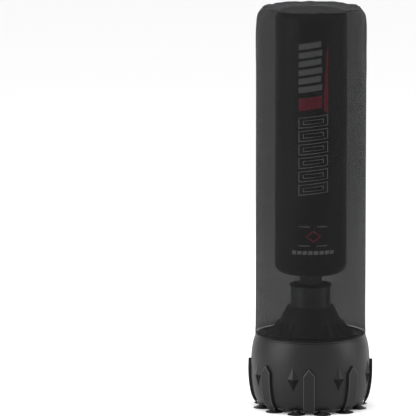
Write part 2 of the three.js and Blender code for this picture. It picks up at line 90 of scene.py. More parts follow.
def turned(degrees, axis="Z"):
    return Matrix.Rotation(math.radians(degrees), 3, axis)


def dress(made, body, slot, *nodes):
    """Puts a piece on a body, in the place of the CAD nodes, if it has any. The material slot it is given is
    not used.
    """
    if nodes:
        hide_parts(*nodes)
    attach(made, body)
    return made


# ---- Camera, lights and floor ----

CAMERA_DISTANCE = 25.0
CAMERA_HEIGHT = 4.85
CAMERA_AZIMUTH = 1.2  # degrees from the front
FRAME_WIDTH = 1.789  # the view's width at the object
OFF_CENTRE = 0.442  # how far right of the picture's middle the object stands
AIM_HEIGHT = 0.863


def make_camera():
    data = bpy.data.cameras.new("photo_camera")
    data.sensor_width = 36.0
    camera = bpy.data.objects.new("photo_camera", data)
    bpy.context.scene.collection.objects.link(camera)
    level = math.sqrt(CAMERA_DISTANCE**2 - (CAMERA_HEIGHT - AIM_HEIGHT) ** 2)
    camera.location = around(level, CAMERA_AZIMUTH, CAMERA_HEIGHT)
    left = around(1.0, CAMERA_AZIMUTH - 90)
    aim = left * OFF_CENTRE + AXIS_Z * AIM_HEIGHT
    sight = aim - camera.location
    camera.rotation_euler = sight.to_track_quat("-Z", "Y").to_euler()
    data.lens = data.sensor_width * sight.length / FRAME_WIDTH
    data.clip_end = 200
    bpy.context.scene.camera = camera


def add_softbox(name, location, width, height, power):
    data = bpy.data.lights.new(name, "AREA")
    data.shape = "RECTANGLE"
    data.size = width
    data.size_y = height
    data.energy = power
    light = bpy.data.objects.new(name, data)
    light.location = location
    sight = Vector(LAMP_TARGET) - Vector(location)
    light.rotation_euler = sight.to_track_quat("-Z", "Y").to_euler()
    bpy.context.scene.collection.objects.link(light)


LAMPS = (  # name, place, width, height, power
    ("overhead", (0, -1.0, 7.0), 5, 5, 160),
    ("left_box", (-4.1, -2.2, 1.9), 3.0, 3.6, 210),
    ("right_box", (4.5, -0.9, 1.9), 2.6, 3.6, 122),
    ("back_left", (-2.4, 4.4, 1.9), 1.0, 3.4, 35),
    ("back_right", (2.4, 4.4, 1.9), 1.0, 3.4, 25),
)
LAMP_TARGET = (0, 0, 0.8)


def make_studio():
    world = bpy.data.worlds.new("studio")
    world.use_nodes = True
    background = world.node_tree.nodes["Background"]
    background.inputs["Color"].default_value = (1, 1, 1, 1)
    background.inputs["Strength"].default_value = 1.0
    bpy.context.scene.world = world
    bpy.context.scene.view_settings.view_transform = "Standard"
    for lamp in LAMPS:
        add_softbox(*lamp)

    bpy.ops.mesh.primitive_plane_add(size=120)
    floor = bpy.context.object
    floor.name = "studio_floor"
    paint = bpy.data.materials.new("studio_floor")
    paint.use_nodes = True
    shader = paint.node_tree.nodes["Principled BSDF"]
    shader.inputs["Base Color"].default_value = (0.94, 0.94, 0.94, 1)
    shader.inputs["Roughness"].default_value = 0.9
    shader.inputs["Specular IOR Level"].default_value = 0.1
    floor.data.materials.append(paint)


# ---- Materials ----


class Paint:
    """A node material under construction: one Principled shader, with whatever feeds it."""

    def __init__(self, name):
        self.material = bpy.data.materials.new(name)
        self.material.use_nodes = True
        self.tree = self.material.node_tree
        self.shader = self.tree.nodes["Principled BSDF"]

    def node(self, kind, **inputs):
        made = self.tree.nodes.new("ShaderNode" + kind)
        for name, value in inputs.items():
            self.feed(made.inputs[name.replace("_", " ")], value)
        return made

    def feed(self, socket, value):
        if isinstance(value, bpy.types.NodeSocket):
            self.tree.links.new(value, socket)
        else:
            socket.default_value = value

    def set(self, **inputs):
        for name, value in inputs.items():
            self.feed(self.shader.inputs[name.replace("_", " ")], value)

    def place(self, kind="Object"):
        return self.tree.nodes.new("ShaderNodeTexCoord").outputs[kind]

    def stretch(self, vector, scale, turn=(0, 0, 0)):
        return self.node("Mapping", Vector=vector, Scale=scale, Rotation=turn).outputs["Vector"]

    def noise(self, vector, scale, detail=3.0, rough=0.55):
        made = self.node("TexNoise", Vector=vector, Scale=scale, Detail=detail, Roughness=rough)
        return made.outputs["Fac"]

    def waves(self, vector, scale, direction="X"):
        made = self.node("TexWave", Vector=vector, Scale=scale)
        made.bands_direction = direction
        return made.outputs["Fac"]

    def cells(self, vector, scale, feature="F1"):
        made = self.node("TexVoronoi", Vector=vector, Scale=scale)
        made.feature = feature
        return made.outputs["Distance"]

    def spread(self, value, low, high, start=0.0, end=1.0):
        """value, from start to end, mapped to low to high."""
        made = self.node("MapRange", Value=value)
        for socket, number in zip(list(made.inputs)[1:5], (start, end, low, high)):
            socket.default_value = number
        return made.outputs["Result"]

    def math(self, operation, a, b):
        made = self.tree.nodes.new("ShaderNodeMath")
        made.operation = operation
        self.feed(made.inputs[0], a)
        self.feed(made.inputs[1], b)
        return made.outputs[0]

    def tint(self, value, color, change, start=0.3, end=0.75):
        """A colour made darker where value is at start or below, and lighter where it is at end or above."""
        dark, light = ([c * (1 + sign * change) for c in color] for sign in (-1, 1))
        return self.ramp(value, (start, dark), (end, light))

    def roughen(self, value, low, high):
        self.set(Roughness=self.spread(value, low, high, 0.3, 0.7))

    def ramp(self, value, *stops):
        """Colours at positions along value: (position, (r, g, b))."""
        made = self.node("ValToRGB", Fac=value)
        elements = made.color_ramp.elements
        while len(elements) < len(stops):
            elements.new(0.5)
        for element, (position, color) in zip(elements, stops):
            element.position = position
            element.color = (*color, 1)
        return made.outputs["Color"]

    def bump(self, height, strength, distance, below=None):
        made = self.node("Bump", Height=height, Strength=strength, Distance=distance)
        if below is not None:
            self.tree.links.new(below, made.inputs["Normal"])
        return made.outputs["Normal"]


def moulded_plastic(name, color, rough, grain=700, gloss=0.22):
    """Grained, scuffed plastic. A mesh's "edge" attribute, from 0 to 1, says where a painted highlight makes
    the colour much lighter.
    """
    p = Paint(name)
    at = p.place()
    cloud = p.noise(at, 5, 4)
    grain_height = p.noise(at, grain, 2)
    peel = p.noise(at, 60, 2)
    scratches = p.noise(p.stretch(at, (3, 3, 90), (0.3, 0.1, 0)), 14, 5, 0.7)
    worn = p.spread(scratches, 0, 1, 0.62, 0.8)
    edge = p.tree.nodes.new("ShaderNodeAttribute")
    edge.attribute_name = "edge"
    # painted highlight: where the "edge" attribute is high, the colour is mixed towards a much lighter one
    edge_highlight_mix = p.tree.nodes.new("ShaderNodeMix")
    edge_highlight_mix.data_type = "RGBA"
    p.feed(edge_highlight_mix.inputs["Factor"], edge.outputs["Fac"])
    p.feed(edge_highlight_mix.inputs["A"], p.tint(cloud, color, 0.25))
    p.feed(edge_highlight_mix.inputs["B"], (*(c * 4 + 0.03 for c in color), 1))
    p.set(Base_Color=edge_highlight_mix.outputs["Result"], Specular_IOR_Level=gloss)
    smudged = p.spread(cloud, rough - 0.05, rough + 0.07, 0.3, 0.7)
    p.set(Roughness=p.math("ADD", smudged, p.math("MULTIPLY", worn, 0.0875)))
    fine = p.bump(grain_height, 0.35, 0.00012)
    p.set(Normal=p.bump(peel, 0.12, 0.0008, fine))
    return p.material


def moulded_rubber(name, color, rough=0.6):
    p = Paint(name)
    at = p.place()
    dust = p.noise(at, 18, 5, 0.65)
    p.set(Base_Color=p.tint(dust, color, 0.3, 0.35, 0.8))
    p.roughen(dust, rough - 0.08, rough + 0.12)
    p.set(Normal=p.bump(p.noise(at, 1400, 2), 0.3, 0.0001))
    p.set(Specular_IOR_Level=0.4)
    return p.material


def powder_coat(name, color):
    p = Paint(name)
    at = p.place()
    p.set(Base_Color=p.tint(p.noise(at, 9, 3), color, 0.2, 0.3, 0.7))
    p.roughen(p.noise(at, 22, 4), 0.16, 0.28)
    p.set(Normal=p.bump(p.noise(at, 260, 2), 0.14, 0.0004))
    p.set(Coat_Weight=0.6, Coat_Roughness=0.12)
    return p.material


def plated_steel(name, color, rough=0.3, brush=(1, 1, 60)):
    """Metal with fine lines, drawn out by the brush's stretch along each axis."""
    p = Paint(name)
    at = p.place()
    lines = p.noise(p.stretch(at, brush), 40, 4, 0.6)
    p.set(Metallic=1.0, Base_Color=p.tint(lines, color, 0.18))
    p.roughen(lines, rough - 0.06, rough + 0.12)
    p.set(Normal=p.bump(lines, 0.15, 0.0002))
    return p.material


def synthetic_leather(name, color):
    p = Paint(name)
    at = p.place()
    pores = p.cells(at, 620)
    creases = p.cells(p.stretch(at, (1, 1, 0.8)), 330, "DISTANCE_TO_EDGE")
    soft = p.noise(at, 7, 4)
    p.set(Base_Color=p.tint(soft, color, 0.3))
    p.roughen(soft, 0.34, 0.5)
    grain = p.bump(p.spread(creases, 0, 1, 0, 0.12), 0.35, 0.00025)
    p.set(Normal=p.bump(pores, 0.2, 0.00015, grain))
    p.set(Coat_Weight=0.12, Coat_Roughness=0.3, Specular_IOR_Level=0.35)
    return p.material


def woven(p, vector, threads_per_metre):
    """The height of a plain weave, from 0 to 1, over a pair of coordinates in metres."""
    warp, weft = (p.waves(vector, threads_per_metre * 0.1, direction) for direction in "XY")
    return p.math("MAXIMUM", warp, weft)


def cover_fabric(name, color, alpha):
    p = Paint(name)
    cloth = p.place("UV")
    at = p.place()
    weave = woven(p, cloth, 1400)
    cloud = p.noise(p.stretch(at, (1, 1, 0.35)), 6, 4)
    rip = p.waves(cloth, 20.0, "X")
    shade = p.math("ADD", p.math("MULTIPLY", cloud, 0.85), p.math("MULTIPLY", rip, 0.15))
    p.set(Base_Color=p.tint(shade, color, 0.3))
    p.roughen(cloud, 0.68, 0.84)
    creases = p.bump(p.noise(p.stretch(at, (1, 1, 0.3)), 16, 4, 0.6), 0.15, 0.003)
    p.set(Normal=p.bump(weave, 0.12, 0.0001, creases))
    p.set(Alpha=alpha, Sheen_Weight=0.01, Sheen_Roughness=0.5, Specular_IOR_Level=0.08)
    return p.material


def plain_cloth(name, color, threads):
    p = Paint(name)
    at = p.place()
    weave = woven(p, at, threads)
    p.set(Base_Color=p.tint(p.noise(at, 40, 4), color, 0.35))
    p.set(Roughness=p.spread(weave, 0.95, 0.75))
    p.set(Normal=p.bump(weave, 0.5, 0.0003), Sheen_Weight=0.3, Sheen_Roughness=0.5)
    return p.material


def braid(name, color):
    p = Paint(name)
    cloth = p.place("UV")
    one, other = (p.waves(p.stretch(cloth, (1, 1, 1), (0, 0, lean)), 60) for lean in (0.6, -0.6))
    strands = p.math("MAXIMUM", one, other)
    p.set(Base_Color=p.tint(strands, color, 0.5, 0.1, 0.9))
    p.set(Roughness=p.spread(strands, 0.9, 0.7), Normal=p.bump(strands, 0.6, 0.0004), Sheen_Weight=0.3)
    return p.material


def foam_paint(name, color):
    p = Paint(name)
    at = p.place()
    cells = p.cells(at, 700)
    p.set(Base_Color=p.tint(cells, color, 0.12, 0.0, 0.7))
    p.set(Roughness=p.spread(cells, 1.0, 0.9), Normal=p.bump(cells, 0.6, 0.0008))
    return p.material


def plywood_paint(name, color):
    p = Paint(name)
    at = p.place()
    grain = p.noise(p.stretch(at, (4, 60, 60)), 5, 5, 0.6)
    p.set(Base_Color=p.tint(grain, color, 0.3, 0.3, 0.7))
    p.set(Roughness=p.spread(grain, 0.65, 0.8), Normal=p.bump(grain, 0.3, 0.0005))
    return p.material


def water_paint(name):
    p = Paint(name)
    ripple = p.noise(p.place(), 25, 3)
    p.set(Base_Color=p.ramp(ripple, (0.3, (0.4, 0.55, 0.6)), (0.7, (0.5, 0.64, 0.68))))
    p.set(Roughness=p.spread(ripple, 0.03, 0.1), Normal=p.bump(ripple, 0.2, 0.002))
    p.set(Transmission_Weight=0.9, IOR=1.33)
    return p.material


def printed_film(name, color):
    """Ink on the skin: a little thicker than nothing, with the skin's grain showing through it."""
    p = Paint(name)
    at = p.place()
    mottle = p.noise(at, 45, 5, 0.65)
    creases = p.cells(at, 330, "DISTANCE_TO_EDGE")
    p.set(Base_Color=p.tint(mottle, color, 0.12, 0.25, 0.7))
    p.roughen(mottle, 0.35, 0.47)
    p.set(Normal=p.bump(p.spread(creases, 0, 1, 0, 0.12), 0.3, 0.0002))
    return p.material


# ---- Making meshes ----


def mesh_of(bm, name):
    """A bmesh's mesh; the bmesh is freed."""
    mesh = bpy.data.meshes.new(name)
    bm.to_mesh(mesh)
    bm.free()
    return mesh


def block(left, right, low, high, lean=0.0):
    """A four-sided outline, anticlockwise from its lower left; its right side stands lean higher."""
    return [(left, low), (right, low + lean), (right, high + lean), (left, high)]


def finish_object(name, mesh, material, sharp=32):
    """An object for a mesh, smooth except across edges sharper than a number of degrees."""
    mesh.validate()
    mesh.update()
    for polygon in mesh.polygons:
        polygon.use_smooth = True
    mesh.set_sharp_from_angle(angle=math.radians(sharp))
    mesh.materials.append(material)
    made = bpy.data.objects.new(name, mesh)
    bpy.context.scene.collection.objects.link(made)
    return made


def closed_object(bm, name, material, sharp):
    """An object for a bmesh, with all its faces turned the same way out."""
    bmesh.ops.recalc_face_normals(bm, faces=bm.faces)
    return finish_object(name, mesh_of(bm, name), material, sharp)


def add_face(bm, uv, corners, spots):
    """A face whose corners have these UVs."""
    face = bm.faces.new(corners)
    for corner, spot in zip(face.loops, spots):
        corner[uv].uv = spot


def arc(centre_r, centre_z, radius, start, end, steps):
    """Points of an arc in the (r, z) plane, between two angles in degrees from level."""
    angles = [math.radians(start + (end - start) * i / steps) for i in range(steps + 1)]
    return [(centre_r + radius * math.cos(a), centre_z + radius * math.sin(a)) for a in angles]


def fillet(points, radius, steps=4):
    """A line of (r, z) points with its inner corners rounded."""
    line = [Vector((*p[:2], 0)) for p in points]
    made = [line[0]]
    for before, corner, after in zip(line, line[1:], line[2:]):
        a = (before - corner)
        b = (after - corner)
        reach = min(radius, a.length * 0.45, b.length * 0.45)
        start = corner + a.normalized() * reach
        end = corner + b.normalized() * reach
        for i in range(steps + 1):
            t = i / steps
            made.append((1 - t) ** 2 * start + 2 * t * (1 - t) * corner + t**2 * end)
    made.append(line[-1])
    return [(p.x, p.y) for p in made]


def curve_through(points, steps):
    """A smooth line through (r, z) points: Catmull-Rom, with that many steps between points."""
    full = [points[0], *points, points[-1]]
    made = []
    for p0, p1, p2, p3 in zip(full, full[1:], full[2:], full[3:]):
        for i in range(steps):
            t = i / steps
            made.append(tuple(
                0.5 * (2 * b + (c - a) * t + (2 * a - 5 * b + 4 * c - d) * t**2
                       + (3 * b - a - 3 * c + d) * t**3)
                for a, b, c, d in zip(p0, p1, p2, p3)
            ))
    return [*made, tuple(points[-1])]


def unmoved(r, z, degrees):
    return r, z


def lathe(name, profile, material, segments, moved=unmoved, loop=False, sharp=32):
    """A piece turned about Z from (r, z) points. moved(r, z, degrees) gives a point another r and z.

    The UVs are metres: the length round at the widest radius, and the length along the profile.
    """
    bm = bmesh.new()
    uv = bm.loops.layers.uv.new("metres")
    along = [0.0]
    for (r0, z0), (r1, z1) in zip(profile, profile[1:]):
        along.append(along[-1] + math.hypot(r1 - r0, z1 - z0))
    widest = max(r for r, _ in profile)
    rows = []
    for r, z in profile:
        if r < 1e-6:
            rows.append([bm.verts.new((0, 0, moved(0.0, z, 0.0)[1]))] * segments)
            continue
        row = []
        for i in range(segments):
            degrees = 360 * i / segments
            r_here, z_here = moved(r, z, degrees)
            row.append(bm.verts.new(around(r_here, degrees, z_here)))
        rows.append(row)
    if loop:
        rows.append(rows[0])
        along.append(along[-1] + math.dist(profile[0], profile[-1]))
    for k, (low, high) in enumerate(zip(rows, rows[1:])):
        for i in range(segments):
            j = (i + 1) % segments
            unique = []
            for corner in ((low[i], i, k), (low[j], i + 1, k), (high[j], i + 1, k + 1), (high[i], i, k + 1)):
                if corner[0] not in [u[0] for u in unique]:
                    unique.append(corner)
            if len(unique) > 2:
                spots = [(column / segments * math.tau * widest, along[row]) for _, column, row in unique]
                add_face(bm, uv, [u[0] for u in unique], spots)
    return finish_object(name, mesh_of(bm, name), material, sharp)


def put(made, location=(0, 0, 0), turn=None):
    """Turns a mesh by a matrix about the origin, then moves it."""
    if turn is not None:
        made.data.transform(turn.to_4x4())
    made.data.transform(Matrix.Translation(location))
    return made


def merged(name, pieces):
    """The pieces as one object."""
    first = pieces[0]
    with bpy.context.temp_override(active_object=first, object=first, selected_editable_objects=pieces):
        bpy.ops.object.join()
    first.name = name
    return first


def bevelled(made, width, segments=2, angle=40):
    change = made.modifiers.new("edges", "BEVEL")
    change.width = width
    change.segments = segments
    change.limit_method = "ANGLE"
    change.angle_limit = math.radians(angle)
    change.harden_normals = False
    return made


def carved(made, cutters):
    """Cuts other pieces out of one, and removes them."""
    for cutter in cutters:
        change = made.modifiers.new("cut", "BOOLEAN")
        change.operation = "DIFFERENCE"
        change.solver = "EXACT"
        change.object = cutter
        with bpy.context.temp_override(active_object=made, object=made):
            bpy.ops.object.modifier_apply(modifier=change.name)
        bpy.data.objects.remove(cutter)
    made.data.set_sharp_from_angle(angle=math.radians(32))
    return made


def prism(name, outline, thick, material, sharp=30):
    """A plate with an outline of (x, z) points, thick along Y and centred on it."""
    bm = bmesh.new()
    front = [bm.verts.new((x, -thick / 2, z)) for x, z in outline]
    back = [bm.verts.new((x, thick / 2, z)) for x, z in outline]
    bm.faces.new(front)
    bm.faces.new(list(reversed(back)))
    for i in range(len(outline)):
        j = (i + 1) % len(outline)
        bm.faces.new((front[j], front[i], back[i], back[j]))
    return closed_object(bm, name, material, sharp)


def tube(name, points, radius, material, sides, closed=False):
    """A tube along points, with UVs in metres: round it, and along it."""
    bm = bmesh.new()
    uv = bm.loops.layers.uv.new("metres")
    line = [Vector(p) for p in points]
    count = len(line)
    side = None
    rings = []
    along = [0.0]
    for i, p in enumerate(line):
        ahead = line[(i + 1) % count] if closed or i + 1 < count else p
        behind = line[i - 1] if closed or i else p
        tangent = (ahead - behind).normalized()
        if side is None:
            side = tangent.orthogonal()
        side = (side - tangent * side.dot(tangent)).normalized()
        up = tangent.cross(side)
        ring = []
        for k in range(sides):
            a = math.tau * k / sides
            ring.append(bm.verts.new(p + radius * (math.cos(a) * side + math.sin(a) * up)))
        rings.append(ring)
        if i:
            along.append(along[-1] + (p - line[i - 1]).length)
    pairs = list(zip(range(count), range(1, count))) + ([(count - 1, 0)] if closed else [])
    for a, b in pairs:
        for k in range(sides):
            m = (k + 1) % sides
            spots = [(column / sides * math.tau * radius, along[row])
                     for column, row in ((k, a), (k + 1, a), (k + 1, b), (k, b))]
            add_face(bm, uv, (rings[a][k], rings[a][m], rings[b][m], rings[b][k]), spots)
    if not closed:
        bm.faces.new(list(reversed(rings[0])))
        bm.faces.new(rings[-1])
    return closed_object(bm, name, material, 60)


def lathe_strip(name, degrees, width, low, high, radius, material, moved=unmoved, rows=80, columns=4):
    """An upright strip on a cylinder, width wide round it, with UVs in metres."""
    bm = bmesh.new()
    uv = bm.loops.layers.uv.new("metres")
    half = math.degrees(width / 2 / radius)
    grid = []
    for i in range(rows + 1):
        z = low + (high - low) * i / rows
        row = []
        for k in range(columns + 1):
            a = degrees - half + 2 * half * k / columns
            r, up = moved(radius, z, a)
            row.append(bm.verts.new(around(r, a, up)))
        grid.append(row)
    for i in range(rows):
        for k in range(columns):
            spots = [(column / columns * width, (high - low) * line / rows)
                     for column, line in ((k, i), (k + 1, i), (k + 1, i + 1), (k, i + 1))]
            add_face(bm, uv, (grid[i][k], grid[i][k + 1], grid[i + 1][k + 1], grid[i + 1][k]), spots)
    return finish_object(name, mesh_of(bm, name), material, 60)


def stitch_row(name, place, count, material, length=0.0028, radius=0.00035):
    """count short stitches; place(t) is the row's point at t, from 0 to 1 round a closed row."""
    bm = bmesh.new()
    for i in range(count):
        middle = Vector(place(i / count))
        ahead = Vector(place((i + 0.1) / count))
        along = (ahead - middle).normalized()
        out = Vector((middle.x, middle.y, 0)).normalized()
        across = along.cross(out).normalized()
        corners = [(-0.5, 0.2), (-0.35, 1.0), (0.35, 1.0), (0.5, 0.2)]
        rows = []
        for part, height in corners:
            at = middle + along * (part * length) + out * (radius * height)
            width = radius * (0.6 + 0.4 * height)
            rows.append([bm.verts.new(at - across * width), bm.verts.new(at + out * radius * 0.4),
                         bm.verts.new(at + across * width)])
        for a, b in zip(rows, rows[1:]):
            bm.faces.new((a[0], a[1], b[1], b[0]))
            bm.faces.new((a[1], a[2], b[2], b[1]))
    return closed_object(bm, name, material, 60)


def ripple(degrees, seed, waves=(3, 5, 8, 13, 21), fall=0.75):
    """A smooth, repeatable wobble round a circle, between about -1 and 1."""
    chance = random.Random(seed)
    total = 0.0
    size = 1.0
    for n in waves:
        total += size * math.sin(math.radians(n * degrees) + chance.uniform(0, math.tau))
        size *= fall
    return total / 2.2


def smooth(x):
    x = max(0.0, min(1.0, x))
    return x * x * (3 - 2 * x)


# ---- The paints ----

TANK_PLASTIC = moulded_plastic("tank_plastic", (0.0045, 0.0045, 0.0047), 0.44)
# a darker, matt copy of the tank plastic: painted shade on the panels' side walls and the studs' lower faces
TANK_MATTE_SHADE = moulded_plastic("tank_matte_shade", (0.004, 0.004, 0.0042), 0.75, gloss=0.1)
SHROUD_PLASTIC = moulded_plastic("shroud_plastic", (0.026, 0.025, 0.026), 0.42, 900, gloss=0.45)
CORE_PLASTIC = moulded_plastic("core_plastic", (0.022, 0.022, 0.022), 0.5)
CUP_RUBBER = moulded_rubber("cup_rubber", (0.007, 0.007, 0.007), 0.5)
BUFFER_RUBBER = moulded_rubber("buffer_rubber", (0.010, 0.010, 0.010), 0.7)
DARK_STEEL = powder_coat("dark_steel", (0.1, 0.1, 0.102))
ZINC_STEEL = plated_steel("zinc_steel", (0.40, 0.41, 0.42))
SPRING_STEEL = plated_steel("spring_steel", (0.09, 0.095, 0.10), 0.32, (20, 20, 20))
ZIP_METAL = plated_steel("zip_metal", (0.13, 0.13, 0.135), 0.35, (30, 30, 30))
BAG_LEATHER = synthetic_leather("bag_leather", (0.006, 0.006, 0.0065))
PRINT_GREY = printed_film("print_grey", (0.62, 0.63, 0.64))
PRINT_FAINT = printed_film("print_faint", (0.78, 0.79, 0.80))
PRINT_RED = printed_film("print_red", (0.72, 0.03, 0.09))
COVER_FABRIC = cover_fabric("cover_fabric", (0.0075, 0.0075, 0.0078), 0.575)
HEM_FABRIC = cover_fabric("hem_fabric", (0.008, 0.008, 0.0085), 0.35)
THREAD = plain_cloth("thread", (0.03, 0.03, 0.031), 3000)
ZIP_TAPE = plain_cloth("zip_tape", (0.012, 0.012, 0.012), 1200)
PIPING = moulded_rubber("piping", (0.001, 0.001, 0.001), 0.8)
CORD_BRAID = braid("cord_braid", (0.012, 0.012, 0.012))
FOAM = foam_paint("foam", (0.65, 0.65, 0.61))
PLYWOOD = plywood_paint("plywood", (0.43, 0.27, 0.11))
WATER = water_paint("ballast_water")

NODE_PAINTS = {
    "tank_plastic": TANK_PLASTIC, "shroud_plastic": SHROUD_PLASTIC, "core_plastic": CORE_PLASTIC,
    "cup_rubber": CUP_RUBBER, "buffer_rubber": BUFFER_RUBBER, "dark_steel": DARK_STEEL,
    "zinc_steel": ZINC_STEEL, "spring_steel": SPRING_STEEL, "zip_metal": ZIP_METAL,
    "bag_leather": BAG_LEATHER, "cover_fabric": COVER_FABRIC, "zip_tape": ZIP_TAPE,
    "cord_braid": CORD_BRAID, "foam": FOAM, "plywood": PLYWOOD, "ballast_water": WATER,
}


def paint_cad_nodes():
    for row in frame["record"]["subparts"]:
        node = frame["nodes"][row["node"]]
        node.data.materials.clear()
        node.data.materials.append(NODE_PAINTS[row["material_slot"]])


# ---- Drawcord and cord lock ----

CORD_ANGLE = 194.8  # where the cord comes out of the hem, in degrees from the front
CORD_R = 0.0022
CORD_SPACING = 0.008
CORD_EXIT_Z = 0.334
EYELET_OUT_R = 0.2414
GROMMET_LINE = [(0.0026, 0.0), (0.0064, 0.0), (0.0064, 0.0008), (0.0048, 0.0021), (0.0032, 0.0019),
                (0.0026, 0.0010)]
GROMMET_SUNK = 0.0011
LOCK_AXIS_R = 0.260  # of the ball's centre, from the bag's axis
LOCK_Z = 0.297
LOCK_R = 0.015
LOCK_FLOOR = -0.0101  # of the ball's mouth, along the button's axis
BUTTON_R = 0.0085
BUTTON_GAP = 0.0004


def centripetal(points, count):
    """A centripetal Catmull-Rom line through points, as count + 1 points even in its parameter."""
    line = [Vector(p) for p in points]
    ends = [line[0] * 2 - line[1], *line, line[-1] * 2 - line[-2]]
    made = []
    for n in range(count + 1):
        place = (len(line) - 1) * n / count
        i = min(int(place), len(line) - 2)
        w = place - i
        p0, p1, p2, p3 = ends[i : i + 4]
        d0, d1, d2 = (max((b - a).length, 1e-4) ** 0.5 for a, b in ((p0, p1), (p1, p2), (p2, p3)))
        t1 = ((p1 - p0) / d0 - (p2 - p0) / (d0 + d1) + (p2 - p1) / d1) * d1
        t2 = ((p2 - p1) / d1 - (p3 - p1) / (d1 + d2) + (p3 - p2) / d2) * d1
        c2 = -3 * p1 + 3 * p2 - 2 * t1 - t2
        c3 = 2 * p1 - 2 * p2 + t1 + t2
        made.append(p1 + t1 * w + c2 * w**2 + c3 * w**3)
    return made


CORD_POINTS = [  # distance from the bag's axis, z, and how far apart the two cords are, in CORD_SPACINGs
    (EYELET_OUT_R, CORD_EXIT_Z, 2), (0.2442, CORD_EXIT_Z, 2), (0.247, CORD_EXIT_Z - 0.0002, 2),
    (0.2502, CORD_EXIT_Z - 0.0011, 1.9), (0.2532, CORD_EXIT_Z - 0.003, 1.75),
    (0.256, CORD_EXIT_Z - 0.0062, 1.5), (0.2583, CORD_EXIT_Z - 0.0108, 1.2),
    (0.2596, CORD_EXIT_Z - 0.0165, 1.02), (0.260, CORD_EXIT_Z - 0.023, 1.0), (0.260, 0.300, 1.0),
    (0.260, 0.288, 1.0), (0.260, 0.277, 1.03), (0.2602, 0.262, 1.2), (0.2605, 0.245, 1.5),
    (0.2608, 0.225, 1.85), (0.261, 0.205, 2.1), (0.261, 0.185, 2.3), (0.261, 0.165, 2.4),
]


def cord_route(side):
    """One cord's points, the same as in the CAD source; side is -1 for the left one and 1 for the right."""
    across = around(1, CORD_ANGLE + 90)
    return [around(radius, CORD_ANGLE, z) - across * (side * spread * CORD_SPACING / 2)
            for radius, z, spread in CORD_POINTS]


def overhand_knot(name, centre):
    """A small knot: a thick trefoil of cord."""
    points = []
    for i in range(60):
        t = math.tau * i / 60
        x = math.sin(t) + 2 * math.sin(2 * t)
        y = math.cos(t) - 2 * math.cos(2 * t)
        z = -math.sin(3 * t)
        points.append(Vector(centre) + Vector((x, z * 1.2, y)) * CORD_R * 0.42)
    return tube(name, points, CORD_R * 0.8, CORD_BRAID, 8, closed=True)


def cord_lock():
    """A moulded ball with a push button, on both cords."""
    outward = turned(CORD_ANGLE)
    centre = around(LOCK_AXIS_R, CORD_ANGLE, LOCK_Z)
    mouth = BUTTON_R + BUTTON_GAP
    edge = math.degrees(math.asin(mouth / LOCK_R))
    shell = arc(0, 0, LOCK_R, -90, 90 - edge, 32)
    shell[0] = (0, -LOCK_R)
    shell[15:17] = arc(0, 0, LOCK_R - 0.0004, -90, 90 - edge, 32)[15:17]  # a groove round the middle
    shell += [(mouth, shell[-1][1] - 0.0008), (mouth, LOCK_FLOOR), (0, LOCK_FLOOR)]
    to_front = turned(90, "X")
    ball = put(lathe("cord_lock_ball", shell, CORE_PLASTIC, 48), turn=to_front)
    channels = []
    for side in (-1, 1):
        bore = lathe("bore", block(0, CORD_R * 1.4, -0.03, 0.03), CORE_PLASTIC, 24)
        channels.append(put(bore, (side * CORD_SPACING / 2, 0, 0)))
    carved(ball, channels)
    put(ball, centre, outward)
    dress(ball, "cover", "core_plastic", "cord_lock")

    rim = [(0, -0.0065), (BUTTON_R, -0.0065), (BUTTON_R, 0.0162), (BUTTON_R - 0.0012, 0.0176),
           (BUTTON_R - 0.0028, 0.018), (BUTTON_R - 0.0034, 0.0172), (0, 0.0166)]
    knob = put(lathe("cord_lock_button", fillet(rim, 0.0006, 3), CORE_PLASTIC, 48), turn=to_front)
    slot_cut = prism("slot", block(-0.0068, 0.0068, -0.02, 0.02), 0.009, CORE_PLASTIC)
    carved(knob, [put(slot_cut, (0, -0.0015, 0))])
    put(knob, centre, outward)
    dress(knob, "lock_button", "core_plastic", "lock_button")

    coil_r, coil_foot, coil_length, coil_turns, steps = 0.005, 0.0093, 0.0019, 1.5, 60
    turns = []
    for i in range(steps + 1):
        a = math.tau * coil_turns * i / steps
        turns.append((coil_r * math.cos(a), coil_foot - coil_length * i / steps, coil_r * math.sin(a)))
    coil = put(tube("cord_lock_coil", turns, 0.00045, SPRING_STEEL, 8), centre, outward)
    dress(coil, "cover", "spring_steel", "lock_spring")
    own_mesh(coil)
    return ball, knob, coil


def make_drawcords():
    ball, knob, coil = cord_lock()
    for side, name in ((-1, "left"), (1, "right")):
        path = centripetal(cord_route(side), 60)
        piece = tube(f"drawcord_{name}_braid", path, CORD_R, CORD_BRAID, 12)
        knot = overhand_knot(f"knot_{name}", path[-1])
        dress(knot, "cover", "cord_braid")
        dress(piece, "cover", "cord_braid", f"drawcord_{name}")

        grommet = lathe(f"grommet_{name}", GROMMET_LINE, ZIP_METAL, 40, loop=True, sharp=50)
        put(grommet, turn=turned(90, "X"))
        put(grommet, turn=turned(CORD_ANGLE))
        low, high = place_of(f"eyelet_{name}")
        put(grommet, (low + high) / 2 - around(GROMMET_SUNK, CORD_ANGLE))
        dress(grommet, "cover", "zip_metal", f"eyelet_{name}")


# ---- Dust cover ----

COVER_R = 0.2373
COVER_HEM_Z = heights_of("dust_cover")[0]
COVER_TOP_Z = 1.7275
COVER_SHOULDER_Z = 1.60  # where the straight side ends
BAG_LOW, BAG_HIGH = heights_of("bag_skin")
HEM_TOP_Z = 0.347
HEM_FOLD_Z = 0.342
SEAM_R = 0.207
SEAM_Z = 1.7325
BAG_CLEARANCE = 0.0072  # room for the bag's edge to rise when it leans
CLOTH_THICK = 0.0005


